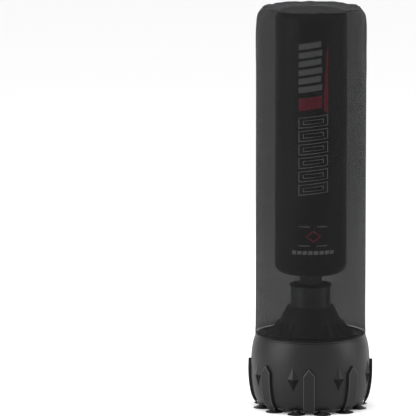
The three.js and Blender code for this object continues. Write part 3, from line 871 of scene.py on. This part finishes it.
def cover_profile():
    """The cover from its hem to the middle of its top, as (r, z)."""
    side = [(COVER_R, COVER_HEM_Z), (COVER_R, HEM_TOP_Z)]
    side += [(COVER_R, HEM_TOP_Z + (COVER_SHOULDER_Z - HEM_TOP_Z) * i / 70) for i in range(1, 71)]
    shoulder = curve_through([(COVER_R, COVER_SHOULDER_Z), (0.2365, 1.64), (0.2345, 1.675), (0.2285, 1.705),
                              (SEAM_R, SEAM_Z)], 7)
    rest = BAG_HIGH + BAG_CLEARANCE
    top = [(SEAM_R - 0.004, SEAM_Z + 0.0006), (0.196, SEAM_Z + 0.0004), (0.175, rest + 0.0012),
           (0.15, rest + 0.0003), (0.12, rest), (0.08, rest), (0.04, rest), (0, rest)]
    return side + shoulder[1:] + curve_through([shoulder[-1], *top], 3)[1:]


def cover_fold(r, z, degrees):
    """The cover's soft folds: long and shallow down its side, closer together at its shoulder and hem."""
    height = (z - COVER_HEM_Z) / (COVER_TOP_Z - COVER_HEM_Z)
    drift = 22 * math.sin(height * 3.1) + 9 * math.sin(height * 7.3 + 1)
    long_fold = ripple(degrees + drift, 4, (2, 3, 5, 7)) * 0.0016
    near_top = smooth((z - 1.36) / 0.28) * smooth((r - 0.10) / 0.10)
    shoulder_fold = ripple(degrees + 14 * math.sin(z * 9), 9, (9, 14, 19, 27, 38), 0.85) * 0.0030 * near_top
    near_hem = smooth((0.46 - z) / 0.13)
    hem_fold = ripple(degrees, 15, (16, 24, 37, 52), 0.85) * 0.0012 * near_hem
    on_side = smooth((r - 0.17) / 0.05)
    sway = long_fold * on_side + shoulder_fold + hem_fold
    rise = 0.0
    if r > 0.12 and z > 1.715:
        rise = ripple(degrees, 21, (7, 11, 17, 25), 0.85) * 0.0022 * smooth((r - 0.12) / 0.08)
    return r + sway, z + rise


def hem_line(height):
    """A line round the hem, as a function of t from 0 to 1."""
    def place(t):
        r, z = cover_fold(COVER_R + 0.0014, height, 360 * t)
        return around(r, 360 * t, z)
    return place


def make_cover():
    shell = lathe("cover_cloth", cover_profile(), COVER_FABRIC, 320, cover_fold, sharp=60)
    thickness = shell.modifiers.new("thickness", "SOLIDIFY")
    thickness.thickness = CLOTH_THICK
    thickness.offset = -1
    dress(shell, "cover", "cover_fabric", "dust_cover")

    band_line = [(COVER_R + 0.0010, COVER_HEM_Z + 0.0006), (COVER_R + 0.0013, COVER_HEM_Z + 0.008),
                 (COVER_R + 0.0010, HEM_FOLD_Z)]
    band = lathe("cover_hem_band", band_line, HEM_FABRIC, 320, cover_fold, sharp=60)
    dress(band, "cover", "cover_fabric")

    seam_line = []
    for i in range(360):
        r, z = cover_fold(SEAM_R, SEAM_Z, i)
        seam_line.append(around(r, i, z))
    piping = tube("cover_top_piping", seam_line, 0.0019, PIPING, 8, closed=True)
    dress(piping, "cover", "cover_fabric")

    rows = []
    for height in (HEM_FOLD_Z - 0.0025, COVER_HEM_Z + 0.004):
        rows.append(stitch_row(f"hem_stitches_{len(rows)}", hem_line(height), 330, THREAD))
    side_seam = lathe_strip("cover_side_seam", 172.0, 0.004, HEM_TOP_Z, 1.66, COVER_R + 0.0007,
                            HEM_FABRIC, cover_fold)
    dress(side_seam, "cover", "cover_fabric")
    for row in rows:
        dress(row, "cover", "thread")


# ---- Bag ----

BAG_R = 0.154
FOOT_ROUND = 0.042
HEAD_ROUND = 0.034
SEAM_LOW_Z = BAG_LOW + FOOT_ROUND - 0.004
SEAM_HIGH_Z = BAG_HIGH - HEAD_ROUND + 0.002
NECK_R = 0.050
PRINT_TURN = 5.5  # degrees from the front to the middle of the print


def bag_profile():
    foot = arc(BAG_R - FOOT_ROUND, BAG_LOW + FOOT_ROUND, FOOT_ROUND, -90, 0, 10)
    head = arc(BAG_R - HEAD_ROUND, BAG_HIGH - HEAD_ROUND, HEAD_ROUND, 0, 90, 10)
    side = [(BAG_R, foot[-1][1] + (head[0][1] - foot[-1][1]) * i / 120) for i in range(1, 120)]
    bottom = [(NECK_R + 0.0012, BAG_LOW), (0.08, BAG_LOW), (0.1, BAG_LOW)]
    top = [(0.1, BAG_HIGH), (0.06, BAG_HIGH), (0.03, BAG_HIGH), (0, BAG_HIGH)]
    return bottom + foot + side + head + top


def bag_fold(r, z, degrees):
    """Small puckers where the skin is gathered into its two ring seams, and a slight unevenness between."""
    from_seam = min(abs(z - SEAM_LOW_Z), abs(z - SEAM_HIGH_Z))
    gather = math.exp(-from_seam / 0.016) * (0.6 + 0.4 * ripple(degrees, 31, (17, 29, 41)))
    pucker = -0.0016 * gather * (0.5 + 0.5 * math.sin(math.radians(64 * degrees) + 2 * ripple(degrees, 33)))
    valley = -0.0022 * math.exp(-((from_seam / 0.0035) ** 2))
    uneven = 0.0006 * ripple(degrees + 40 * math.sin(z * 2.2), 35, (2, 3, 5)) * smooth((r - 0.13) / 0.02)
    return r + pucker + valley + uneven, z


def print_mesh(name, outlines, material, height=0.0005):
    """Flat outlines of (along the skin, z) points, in metres from the print's middle, wrapped on the bag."""
    bm = bmesh.new()
    for outline in outlines:
        bm.faces.new([bm.verts.new((x, 0, z)) for x, z in outline])
    for step in range(-30, 31):
        geometry = bm.verts[:] + bm.edges[:] + bm.faces[:]
        bmesh.ops.bisect_plane(bm, geom=geometry, plane_co=(step * 0.006, 0, 0), plane_no=(1, 0, 0))
    for v in bm.verts:
        degrees = PRINT_TURN + math.degrees(v.co.x / BAG_R)
        r, z = bag_fold(BAG_R + height, v.co.z, degrees)
        v.co = around(r, degrees, z)
    for face in bm.faces:
        face.normal_update()
        middle = face.calc_center_median()
        if face.normal.dot(Vector((middle.x, middle.y, 0))) < 0:
            face.normal_flip()
    made = finish_object(name, mesh_of(bm, name), material, 60)
    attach(made, "bag")
    return made


def frame_of(outline, width):
    """The outline's border, as one quad for each of its sides."""
    count = len(outline)
    inner_axes = []
    for values in zip(*outline):
        middle = sum(values) / count
        shrink = 1 - 2 * width / (max(values) - min(values))
        inner_axes.append([middle + (value - middle) * shrink for value in values])
    inner = list(zip(*inner_axes))
    return [[outline[i], outline[(i + 1) % count], inner[(i + 1) % count], inner[i]] for i in range(count)]


def make_prints():
    """Plain shapes: leaning bars over a red block, a red bar, frames, and a red diamond between lines."""
    left, right, bar_left, bar_right = -0.066, 0.036, 0.044, 0.064
    lean = 0.016
    filled = []
    for i in range(6):
        z = 1.382 + 0.037 * i
        filled.append(block(left, right - 0.004 * (i % 2), z, z + 0.025, lean))
    hollow = []
    for z in (0.940, 0.998, 1.056, 1.114, 1.172, 1.230):
        hollow += frame_of(block(left, bar_right, z, z + 0.046, lean), 0.0042)
        inner = block(left + 0.020, bar_right - 0.020, z + 0.016, z + 0.034, lean * 0.69)
        hollow += frame_of(inner, 0.0036)
    grey = print_mesh("print_blocks", filled, PRINT_GREY)
    thin = print_mesh("print_frames", hollow, PRINT_FAINT)
    red_block = block(left, right, 1.304, 1.358, lean)
    red_bar = [(bar_left, 1.310), (bar_right, 1.292), (bar_right, 1.600), (0.056, 1.556), (0.050, 1.46),
               (bar_left, 1.38)]
    red = print_mesh("print_bar", [red_block, red_bar], PRINT_RED)

    middle_z = 0.765
    rhomb = [(0, middle_z - 0.027), (0.034, middle_z), (0, middle_z + 0.027), (-0.034, middle_z)]
    target = print_mesh("print_diamond", frame_of(rhomb, 0.009), PRINT_RED)
    lines = []
    for z in (middle_z - 0.043, middle_z + 0.040):
        for start, end in ((-0.064, -0.014), (0.014, 0.064)):
            lines.append(block(start, end, z, z + 0.0035))
    dashes = []
    for i in range(8):
        x = -0.096 + 0.0242 * i
        dashes.append([(x, 0.686), (x + 0.019, 0.686), (x + 0.022, 0.702), (x + 0.003, 0.702)])
    rule = print_mesh("print_lines", lines + dashes, PRINT_FAINT)


def skin_line(z):
    """A line round the bag, as a function of t from 0 to 1."""
    return lambda t: around(bag_fold(BAG_R, z, 360 * t)[0] + 0.0001, 360 * t, z)


def make_bag():
    skin = lathe("bag_skin_leather", bag_profile(), BAG_LEATHER, 384, bag_fold, sharp=60)
    dress(skin, "bag", "bag_leather", "bag_skin")
    for seam, height in (("foot", SEAM_LOW_Z), ("head", SEAM_HIGH_Z)):
        line = [around(BAG_R - 0.0012, i, height) for i in range(0, 360, 2)]
        piping = tube(f"bag_{seam}_piping", line, 0.0016, BAG_LEATHER, 8, closed=True)
        dress(piping, "bag", "bag_leather")
        side = 0.0052 if seam == "foot" else -0.0052
        row = stitch_row(f"bag_{seam}_stitches", skin_line(height + side), 240, THREAD)
        dress(row, "bag", "thread")
    make_prints()


# ---- Zip down the back ----

ZIP_LOW, ZIP_HIGH = heights_of("zip_tape")
ZIP_MIDDLE_Z = sum(heights_of("zip_slider")) / 2
ZIP_FACE_R = place_of("zip_slider")[0].y
ZIP_PIN_Y = ZIP_FACE_R + 0.0075
ZIP_PIN_R = 0.001


def zip_teeth():
    """A row of teeth, from the two tapes in turn."""
    bm = bmesh.new()
    pitch = 0.0026
    margin = 0.006
    for i in range(int((ZIP_HIGH - ZIP_LOW - 2 * margin) / pitch)):
        z = ZIP_LOW + margin + pitch * (i + 0.5)
        side = 1 if i % 2 else -1
        block = bmesh.ops.create_cube(bm, size=1)["verts"]
        for v in block:
            narrow = 0.75 if v.co.y > 0 else 1.0
            x = v.co.x * 0.0034 * narrow + side * 0.0012
            y = BAG_R + 0.0016 + (v.co.y + 0.5) * 0.0017
            v.co = (x, y, z + v.co.z * 0.0021 * narrow)
    return finish_object("zip_teeth_row", mesh_of(bm, "zip_teeth_row"), ZIP_METAL, 20)


def tape_line(side):
    """A line up one of the zip's tapes, as a function of t from 0 to 1."""
    low, length = ZIP_LOW + 0.004, ZIP_HIGH - ZIP_LOW - 0.008
    return lambda t: around(BAG_R + 0.0011, 180 + side * 4.6, low + t * length)


def make_zip():
    tapes = lathe_strip("zip_tape_cloth", 180, 0.030, ZIP_LOW, ZIP_HIGH, BAG_R + 0.0009, ZIP_TAPE,
                        rows=2, columns=12)
    dress(tapes, "bag", "zip_tape", "zip_tape")
    teeth = zip_teeth()
    dress(teeth, "bag", "zip_metal", "zip_teeth")
    for side, name in ((-1, "left"), (1, "right")):
        row = stitch_row(f"zip_stitches_{name}", tape_line(side), 230, THREAD, radius=0.0003)
        dress(row, "bag", "thread")

    shield = [(-0.0028, -0.008), (0.0028, -0.008), (0.0055, -0.002), (0.0055, 0.0055), (0.0038, 0.008),
              (-0.0038, 0.008), (-0.0055, 0.0055), (-0.0055, -0.002)]
    body = prism("zip_slider_body", shield, 0.003, ZIP_METAL)
    put(body, (0, ZIP_FACE_R + 0.0015, ZIP_MIDDLE_Z))
    post = prism("post", block(-0.002, 0.002, -0.0022, 0.0022), 0.006, ZIP_METAL)
    put(post, (0, ZIP_FACE_R + 0.0055, ZIP_MIDDLE_Z))
    across = turned(90, "Y")
    pin = lathe("pin", fillet(block(0, ZIP_PIN_R, -0.0056, 0.0056), 0.0003, 2), ZIP_METAL, 20)
    pin_place = (0, ZIP_PIN_Y, ZIP_MIDDLE_Z)
    put(pin, pin_place, across)
    slider = bevelled(merged("zip_slider_body", [body, post, pin]), 0.0004)
    dress(slider, "zip_slider", "zip_metal", "zip_slider")

    outline = [(-0.0042, -0.038), (0.0042, -0.038), (0.005, -0.0368), (0.0052, -0.012), (0.0052, 0),
               (0.0023, 0), (0.0023, -0.006), (-0.0023, -0.006), (-0.0023, 0), (-0.0052, 0),
               (-0.0052, -0.012), (-0.005, -0.0368)]
    slab = put(prism("zip_pull_plate", outline, 0.002, ZIP_METAL), pin_place)
    eyes = []
    for low in (-0.0052, 0.0023):
        eye = lathe("eye", block(0.0013, 0.0023, low, low + 0.0029), ZIP_METAL, 20, loop=True)
        eyes.append(put(eye, pin_place, across))
    hole = prism("hole", block(-0.0026, 0.0026, -0.033, -0.027), 0.006, ZIP_METAL)
    carved(slab, [put(hole, pin_place)])
    pull = bevelled(merged("zip_pull_plate", [slab, *eyes]), 0.0003)
    dress(pull, "zip_pull", "zip_metal", "zip_pull")


# ---- Base ----

TANK_BOTTOM = 0.022
TANK_FOOT_R = 0.226
TANK_BULGE = [(TANK_FOOT_R, TANK_BOTTOM), (0.236, 0.038), (0.246, 0.066), (0.2545, 0.120), (0.2565, 0.185),
              (0.254, 0.240), (0.2465, 0.287), (0.238, 0.312)]
PANEL_COUNT = 8
PANEL_HALF = 0.025
PANEL_PROUD = 0.0115
PANEL_LOW = 0.012
PANEL_SHOULDER = 0.177
PANEL_TIP = 0.209
DIAMOND_OFFSET = -15.5  # degrees from each panel to the diamond beside it
DECK_Z = 0.314
CUP_RING_R = 0.213
FILLER_PLACE = (0, -0.190, 0)
FILLER_BORE_R = 0.018
SCREW_ANGLES = (37.5, 142.5, -142.5, -37.5)
SCREW_RING_R = 0.172


def tank_radius(z):
    """The radius of the tank's wall at a height."""
    line = curve_through(TANK_BULGE, 8)
    for (r0, z0), (r1, z1) in zip(line, line[1:]):
        if z0 <= z <= z1:
            return r0 + (r1 - r0) * (z - z0) / (z1 - z0)
    return TANK_BULGE[-1][0]


def tank_profile():
    wall = curve_through(TANK_BULGE, 10)
    bead = [(0.2388, 0.3135), (0.2386, 0.3168), (0.2368, 0.3194), (0.2335, 0.3210), (0.2248, 0.3210),
            (0.2222, 0.3198), (0.2196, 0.3160), (0.2178, DECK_Z)]
    channel = [(0.212, DECK_Z), (0.2095, 0.3122), (0.2055, 0.3122), (0.203, DECK_Z)]
    deck = [(0.19, DECK_Z), (0.17, DECK_Z), (0.15, DECK_Z), (0.09, DECK_Z), (0, DECK_Z)]
    foot = [(0, TANK_BOTTOM), (0.12, TANK_BOTTOM), (0.18, TANK_BOTTOM), (0.215, TANK_BOTTOM + 0.0002)]
    return foot + wall[:-1] + [(0.2374, 0.3095), (0.2368, 0.3112)] + bead + channel + deck


def panel_mesh(name, angle):
    """An upright pointed panel, wrapped over the tank's wall: softened edges, and a field sunk a little."""
    bm = bmesh.new()
    from_edge = (0, 0.0008, 0.0016, 0.0024, 0.0032, 0.0052, 0.0062, 0.0072)
    half = [PANEL_HALF - x for x in from_edge] + [0.012, 0.006]
    columns = [-x for x in half] + [0.0] + list(reversed(half))
    border = 0.0018
    rows = 44
    # the "edge" layer carries the painted highlight along the panel's border
    edge_highlight_layer = bm.verts.layers.float.new("edge")
    grid = []
    for x in columns:
        top = PANEL_TIP - (PANEL_TIP - PANEL_SHOULDER) * abs(x) / PANEL_HALF
        line = []
        for j in range(rows + 1):
            z = PANEL_LOW + (top - PANEL_LOW) * j / rows
            edge = min(PANEL_HALF - abs(x), (top - z) * 0.62, 1.0)
            drop = 0.0016 * (1 - smooth(edge / border))
            foot = 0.5 * max(0.0, 0.03 - z)
            field = 0.0005 * smooth((edge - 0.0032) / 0.002)
            radius = tank_radius(z) if z > TANK_BOTTOM else TANK_FOOT_R
            v = bm.verts.new((x, -(radius + PANEL_PROUD - drop - field - foot * 0.25), z))
            # painted highlight: strongest about 1.6 mm in from the panel's edge, on its rounded border
            v[edge_highlight_layer] = smooth(1 - abs(edge - 0.0016) / 0.0022)
            line.append(v)
        grid.append(line)
    back = [[bm.verts.new((v.co.x, -min(0.235, -v.co.y - 0.004), v.co.z)) for v in line] for line in grid]
    for i in range(len(columns) - 1):
        for j in range(rows):
            bm.faces.new((grid[i][j], grid[i + 1][j], grid[i + 1][j + 1], grid[i][j + 1]))
        for j in (0, rows):
            bm.faces.new((grid[i][j], back[i][j], back[i + 1][j], grid[i + 1][j]))
    for i in (0, len(columns) - 1):
        for j in range(rows):
            bm.faces.new((grid[i][j], back[i][j], back[i][j + 1], grid[i][j + 1]))
    bmesh.ops.recalc_face_normals(bm, faces=bm.faces)
    for face in bm.faces:
        if abs(face.normal.x) > 0.6 or face.normal.z > 0.7:  # its side walls and top take the darker matt copy, as painted shade
            face.material_index = 1
    made = finish_object(name, mesh_of(bm, name), TANK_PLASTIC, 40)
    made.data.materials.append(TANK_MATTE_SHADE)
    return put(made, turn=turned(angle))


def diamond_stud(name, angle):
    """A raised four-sided stud on the wall, with its two lower faces in the darker matt copy of the plastic as
    painted shade.
    """
    bm = bmesh.new()
    middle, apex = 0.159, 0.2668
    corners = ((0, 0.214), (-0.027, middle), (0, 0.105), (0.027, middle))
    ring = []
    root = []
    for x, z in corners:
        r = math.sqrt(tank_radius(z) ** 2 - x * x)
        ring.append(bm.verts.new((x, -r - 0.0004, z)))
        root.append(bm.verts.new((x, -r + 0.008, z)))
    tip = bm.verts.new((0, -apex, middle))
    for i in range(len(ring)):
        face = bm.faces.new((ring[i], ring[(i + 1) % 4], tip))
        # the two lower faces: painted shade, in the darker matt copy
        face.material_index = 1 if i in (1, 2) else 0
        bm.faces.new((ring[i], root[i], root[(i + 1) % 4], ring[(i + 1) % 4]))
    bm.faces.new(root)
    made = closed_object(bm, name, TANK_PLASTIC, 20)
    made.data.materials.append(TANK_MATTE_SHADE)
    bevelled(made, 0.0008, 2, 8)
    return put(made, turn=turned(angle))


def make_tank():
    shell = lathe("tank_shell", tank_profile(), TANK_PLASTIC, 192, sharp=28)
    bore = lathe("bore", block(0, FILLER_BORE_R, 0.285, 0.34), TANK_PLASTIC, 48)
    carved(shell, [put(bore, FILLER_PLACE)])
    dress(shell, "base", "tank_plastic", "base_tank")
    neck = [(FILLER_BORE_R, 0.306), (0.023, 0.306), (0.023, 0.3272), (0.0222, 0.328), (0.0186, 0.328),
            (FILLER_BORE_R, 0.3274)]
    neck_piece = put(lathe("filler_neck", neck, TANK_PLASTIC, 64, loop=True), FILLER_PLACE)
    dress(neck_piece, "base", "tank_plastic")
    for i in range(PANEL_COUNT):
        angle = 360 / PANEL_COUNT * i
        dress(panel_mesh(f"tank_panel_{i + 1}", angle), "base", "tank_plastic")
        dress(diamond_stud(f"tank_diamond_{i + 1}", angle + DIAMOND_OFFSET), "base", "tank_plastic")


def make_cups():
    outline = [(0, 0.0062), (0.012, 0.0058), (0.024, 0.0040), (0.0335, 0.0006), (0.0368, 0), (0.0385, 0.0004),
               (0.0375, 0.0016), (0.031, 0.0036), (0.023, 0.0072), (0.0165, 0.0115), (0.0135, 0.0145),
               (0.013, 0.0168), (0.0118, 0.0176), (0.013, 0.0184), (0.013, 0.0212), (0.0124, 0.0217),
               (0.0062, 0.0217), (0.006, 0.0222), (0.006, 0.0305), (0.0054, 0.031), (0, 0.031)]
    for i in range(12):
        cup = put(lathe(f"cup_{i + 1:02d}", outline, CUP_RUBBER, 64), around(CUP_RING_R, 15 + 30 * i))
        dress(cup, "base", "cup_rubber", f"suction_cup_{i + 1:02d}")


def filler_parts():
    """The filler's screw cap, with ribs round its edge, a grip on top and a hollow inside, and its seal."""
    low, high = heights_of("filler_cap")
    bm = bmesh.new()
    ribs = 36
    steps = ribs * 8

    def ring(z, radius_at):
        angles = [math.tau * k / steps for k in range(steps)]
        return [bm.verts.new((radius_at(a) * math.cos(a), radius_at(a) * math.sin(a), z)) for a in angles]

    def join(lower, upper):
        for k in range(steps):
            m = (k + 1) % steps
            bm.faces.new((lower[k], lower[m], upper[m], upper[k]))

    def ribbed_edge(z, ribbed):
        widest = 0.0268 + ribbed * 0.0012 - (0.0008 if z > high - 0.001 else 0.0)
        return ring(z, lambda a: widest - ribbed * 0.0013 * (0.5 + 0.5 * math.cos(ribs * a)) ** 2)

    levels = [(low, 0.0), (low + 0.0012, 1.0), (high - 0.0034, 1.0), (high - 0.0012, 0.35),
              (high - 0.0004, 0.0)]
    rings = [ribbed_edge(z, ribbed) for z, ribbed in levels]
    for radius, drop in ((0.0245, 0), (0.0205, 0.0002), (0.0195, 0.0010), (0.006, 0.0010)):
        rings.append(ring(high - drop, lambda a, radius=radius: radius))
    for lower, upper in zip(rings, rings[1:]):
        join(lower, upper)
    bm.faces.new(rings[-1])
    inside = ring(low, lambda a: 0.0237)
    ceiling = ring(high - 0.0044, lambda a: 0.0237)
    join(inside, rings[0])
    join(ceiling, inside)
    bm.faces.new(list(reversed(ceiling)))
    cap = closed_object(bm, "filler_cap_ribbed", SHROUD_PLASTIC, 30)
    grip_line = [(-0.0165, -0.0006), (0.0165, -0.0006), (0.0155, 0.0008), (-0.0155, 0.0008)]
    grip = prism("cap_grip", grip_line, 0.0036, SHROUD_PLASTIC)
    put(grip, (0, 0, high - 0.0008))
    cap = put(merged("filler_cap_ribbed", [cap, grip]), FILLER_PLACE)
    dress(cap, "filler_cap", "shroud_plastic", "filler_cap")
    washer = fillet(block(0.0175, 0.0225, *heights_of("cap_gasket")), 0.0006, 3)
    gasket = put(lathe("cap_seal_ring", washer, BUFFER_RUBBER, 64, loop=True), FILLER_PLACE)
    dress(gasket, "cap_seal", "buffer_rubber", "cap_gasket")


# ---- Shroud cone ----


def cone_profile():
    low = DECK_Z + 0.0003
    outside = [(0.1845, low), (0.186, low + 0.0008), (0.186, low + 0.0024), (0.1854, low + 0.003),
               (0.160, low + 0.003), (0.1572, low + 0.0042), (0.146, 0.342), (0.1335, 0.3715), (0.1322, 0.3752),
               (0.1185, 0.405), (0.1022, 0.4372), (0.1008, 0.4392), (0.0990, 0.4400), (0.0900, 0.4400),
               (0.0886, 0.4392)]
    inside = [(0.0886, 0.4362), (0.0965, 0.436), (0.114, 0.403), (0.129, 0.3715), (0.154, low + 0.001),
              (0.155, low)]
    return outside + inside


def fin(name, degrees):
    """A rib from the flange up the cone's foot, rounded along its outer edge."""
    low = DECK_Z + 0.0012
    outline = [(0.150, low), (0.1862, low), (0.1878, low + 0.0014), (0.188, low + 0.0048),
               (0.1865, low + 0.0074), (0.166, 0.3405), (0.1425, 0.3718), (0.1405, 0.3735), (0.1315, 0.3735),
               (0.1315, 0.371)]
    made = prism(name, outline, 0.004, SHROUD_PLASTIC)
    bevelled(made, 0.0010, 3)
    return put(made, turn=turned(degrees - 90))


def make_shroud():
    cone = lathe("shroud_cone_shell", cone_profile(), SHROUD_PLASTIC, 160, loop=True, sharp=35)
    notch = lathe("notch", block(0, 0.031, 0.30, 0.37), SHROUD_PLASTIC, 64)
    carved(cone, [put(notch, FILLER_PLACE)])
    dress(cone, "base", "shroud_plastic", "shroud_cone")
    for i in range(21):
        dress(fin(f"shroud_fin_{i + 1:02d}", 30 + 15 * i), "base", "shroud_plastic")
    for i, angle in enumerate(SCREW_ANGLES):
        low = place_of(f"shroud_screw_{i + 1}")[0].z
        head = [(0.0055, 0.3176), (0.0055, 0.3184), (0.0046, 0.3198), (0.0030, 0.3206), (0, 0.3208)]
        shank = [(0, low), (0.0023, low), (0.0023, 0.3176)]
        piece = lathe(f"screw_{i + 1}", shank + head, ZINC_STEEL, 40)
        slots = []
        for turn in (0, 90):
            bit = prism("bit", block(-0.0024, 0.0024, 0.3192, 0.33), 0.0008, ZINC_STEEL)
            slots.append(put(bit, turn=turned(turn)))
        carved(piece, slots)
        put(piece, around(SCREW_RING_R, angle))
        dress(piece, "base", "zinc_steel", f"shroud_screw_{i + 1}")


# ---- Column ----

PIVOT_Z = 0.485  # the height about which the bag leans
COLLAR_R = 0.088
COLLAR_INNER_R = 0.0825
CAP_RING_R = 0.090
CAP_RING_BORE = 0.062
NECK_INNER_R = 0.0468
DOME_R = 0.071
DOME_INNER_R = 0.068
DOME_FOOT_ANGLE = 20  # degrees above the pivot
SPRING_R = 0.034
SPRING_WIRE_R = 0.0045
SPRING_TURNS = 5
CLEARANCE = 0.0003  # between two pieces that touch


def bolt_holes(ring_radius, low, high):
    """Four pins, to be cut out of a flange for its bolts."""
    return [put(lathe("hole", block(0, 0.0043, low, high), DARK_STEEL, 24), around(ring_radius, angle))
            for angle in (45, 135, 225, 315)]


def make_column():
    low, high = heights_of("collar_tube")
    tube_line = fillet([(COLLAR_INNER_R, low), (0.124, low), (0.124, low + 0.006), (COLLAR_R, low + 0.006),
                        (COLLAR_R, high), (COLLAR_INNER_R, high)], 0.0012, 3)
    collar = lathe("collar_sleeve", tube_line, DARK_STEEL, 160, loop=True)
    carved(collar, bolt_holes(0.107, 0.30, 0.33))
    dress(collar, "base", "dark_steel", "collar_tube")

    foot, top = heights_of("collar_ring")
    inner = COLLAR_INNER_R - CLEARANCE
    ring_line = [(CAP_RING_BORE, top - 0.014), (0.076, top - 0.014), (0.076, foot), (inner, foot),
                 (inner, high + CLEARANCE), (CAP_RING_R, high + CLEARANCE), (CAP_RING_R, top),
                 (CAP_RING_BORE, top)]
    ring = lathe("collar_cap_ring", fillet(ring_line, 0.0010, 3), BUFFER_RUBBER, 128, loop=True)
    dress(ring, "base", "buffer_rubber", "collar_ring")


def make_neck():
    low, high = heights_of("neck_tube")
    wide = place_of("neck_tube")[1].x
    line = [(NECK_INNER_R, low), (NECK_R, low), (NECK_R, high - 0.005), (wide, high - 0.005), (wide, high),
            (NECK_INNER_R, high)]
    neck = lathe("neck_sleeve", fillet(line, 0.0009, 3), DARK_STEEL, 128, loop=True)
    carved(neck, bolt_holes(0.080, 0.58, 0.62))
    dress(neck, "bag", "dark_steel", "neck_tube")

    top, inner_top = (math.degrees(math.acos((NECK_R + CLEARANCE) / r)) for r in (DOME_R, DOME_INNER_R))
    outside = arc(0, PIVOT_Z, DOME_R, DOME_FOOT_ANGLE, top, 24)
    grooves = arc(0, PIVOT_Z, DOME_R - 0.0007, DOME_FOOT_ANGLE, top, 24)
    for i in (5, 13, 21):
        outside[i] = grooves[i]
    dome_line = outside + arc(0, PIVOT_Z, DOME_INNER_R, inner_top, DOME_FOOT_ANGLE, 12)
    dome = lathe("dust_dome_rubber", dome_line, BUFFER_RUBBER, 128, loop=True)
    dress(dome, "bag", "buffer_rubber", "dust_dome")


def make_spring():
    """The coil between the column's seats, made as two pieces: its foot and its head."""
    low, high = heights_of("sway_spring")
    wire = SPRING_WIRE_R
    steps = 240
    points = []
    for i in range(steps + 1):
        t = i / steps
        a = math.tau * SPRING_TURNS * t
        eased = t - 0.11 * math.sin(math.tau * t)  # the end turns lie closer together
        z = low + wire + (high - low - 2 * wire) * eased
        points.append((SPRING_R * math.cos(a), SPRING_R * math.sin(a), z))
    foot = tube("sway_coil_foot", points[:steps // 2 + 1], wire, SPRING_STEEL, 12)
    head = tube("sway_coil_head", points[steps // 2:], wire, SPRING_STEEL, 12)
    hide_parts("sway_spring")
    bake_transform(foot)
    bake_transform(head)


# ---- The whole scene ----

make_camera()
paint_cad_nodes()
make_drawcords()
make_studio()
make_cover()
make_bag()
make_zip()
make_tank()
make_cups()
filler_parts()
make_shroud()
make_column()
make_neck()
make_spring()
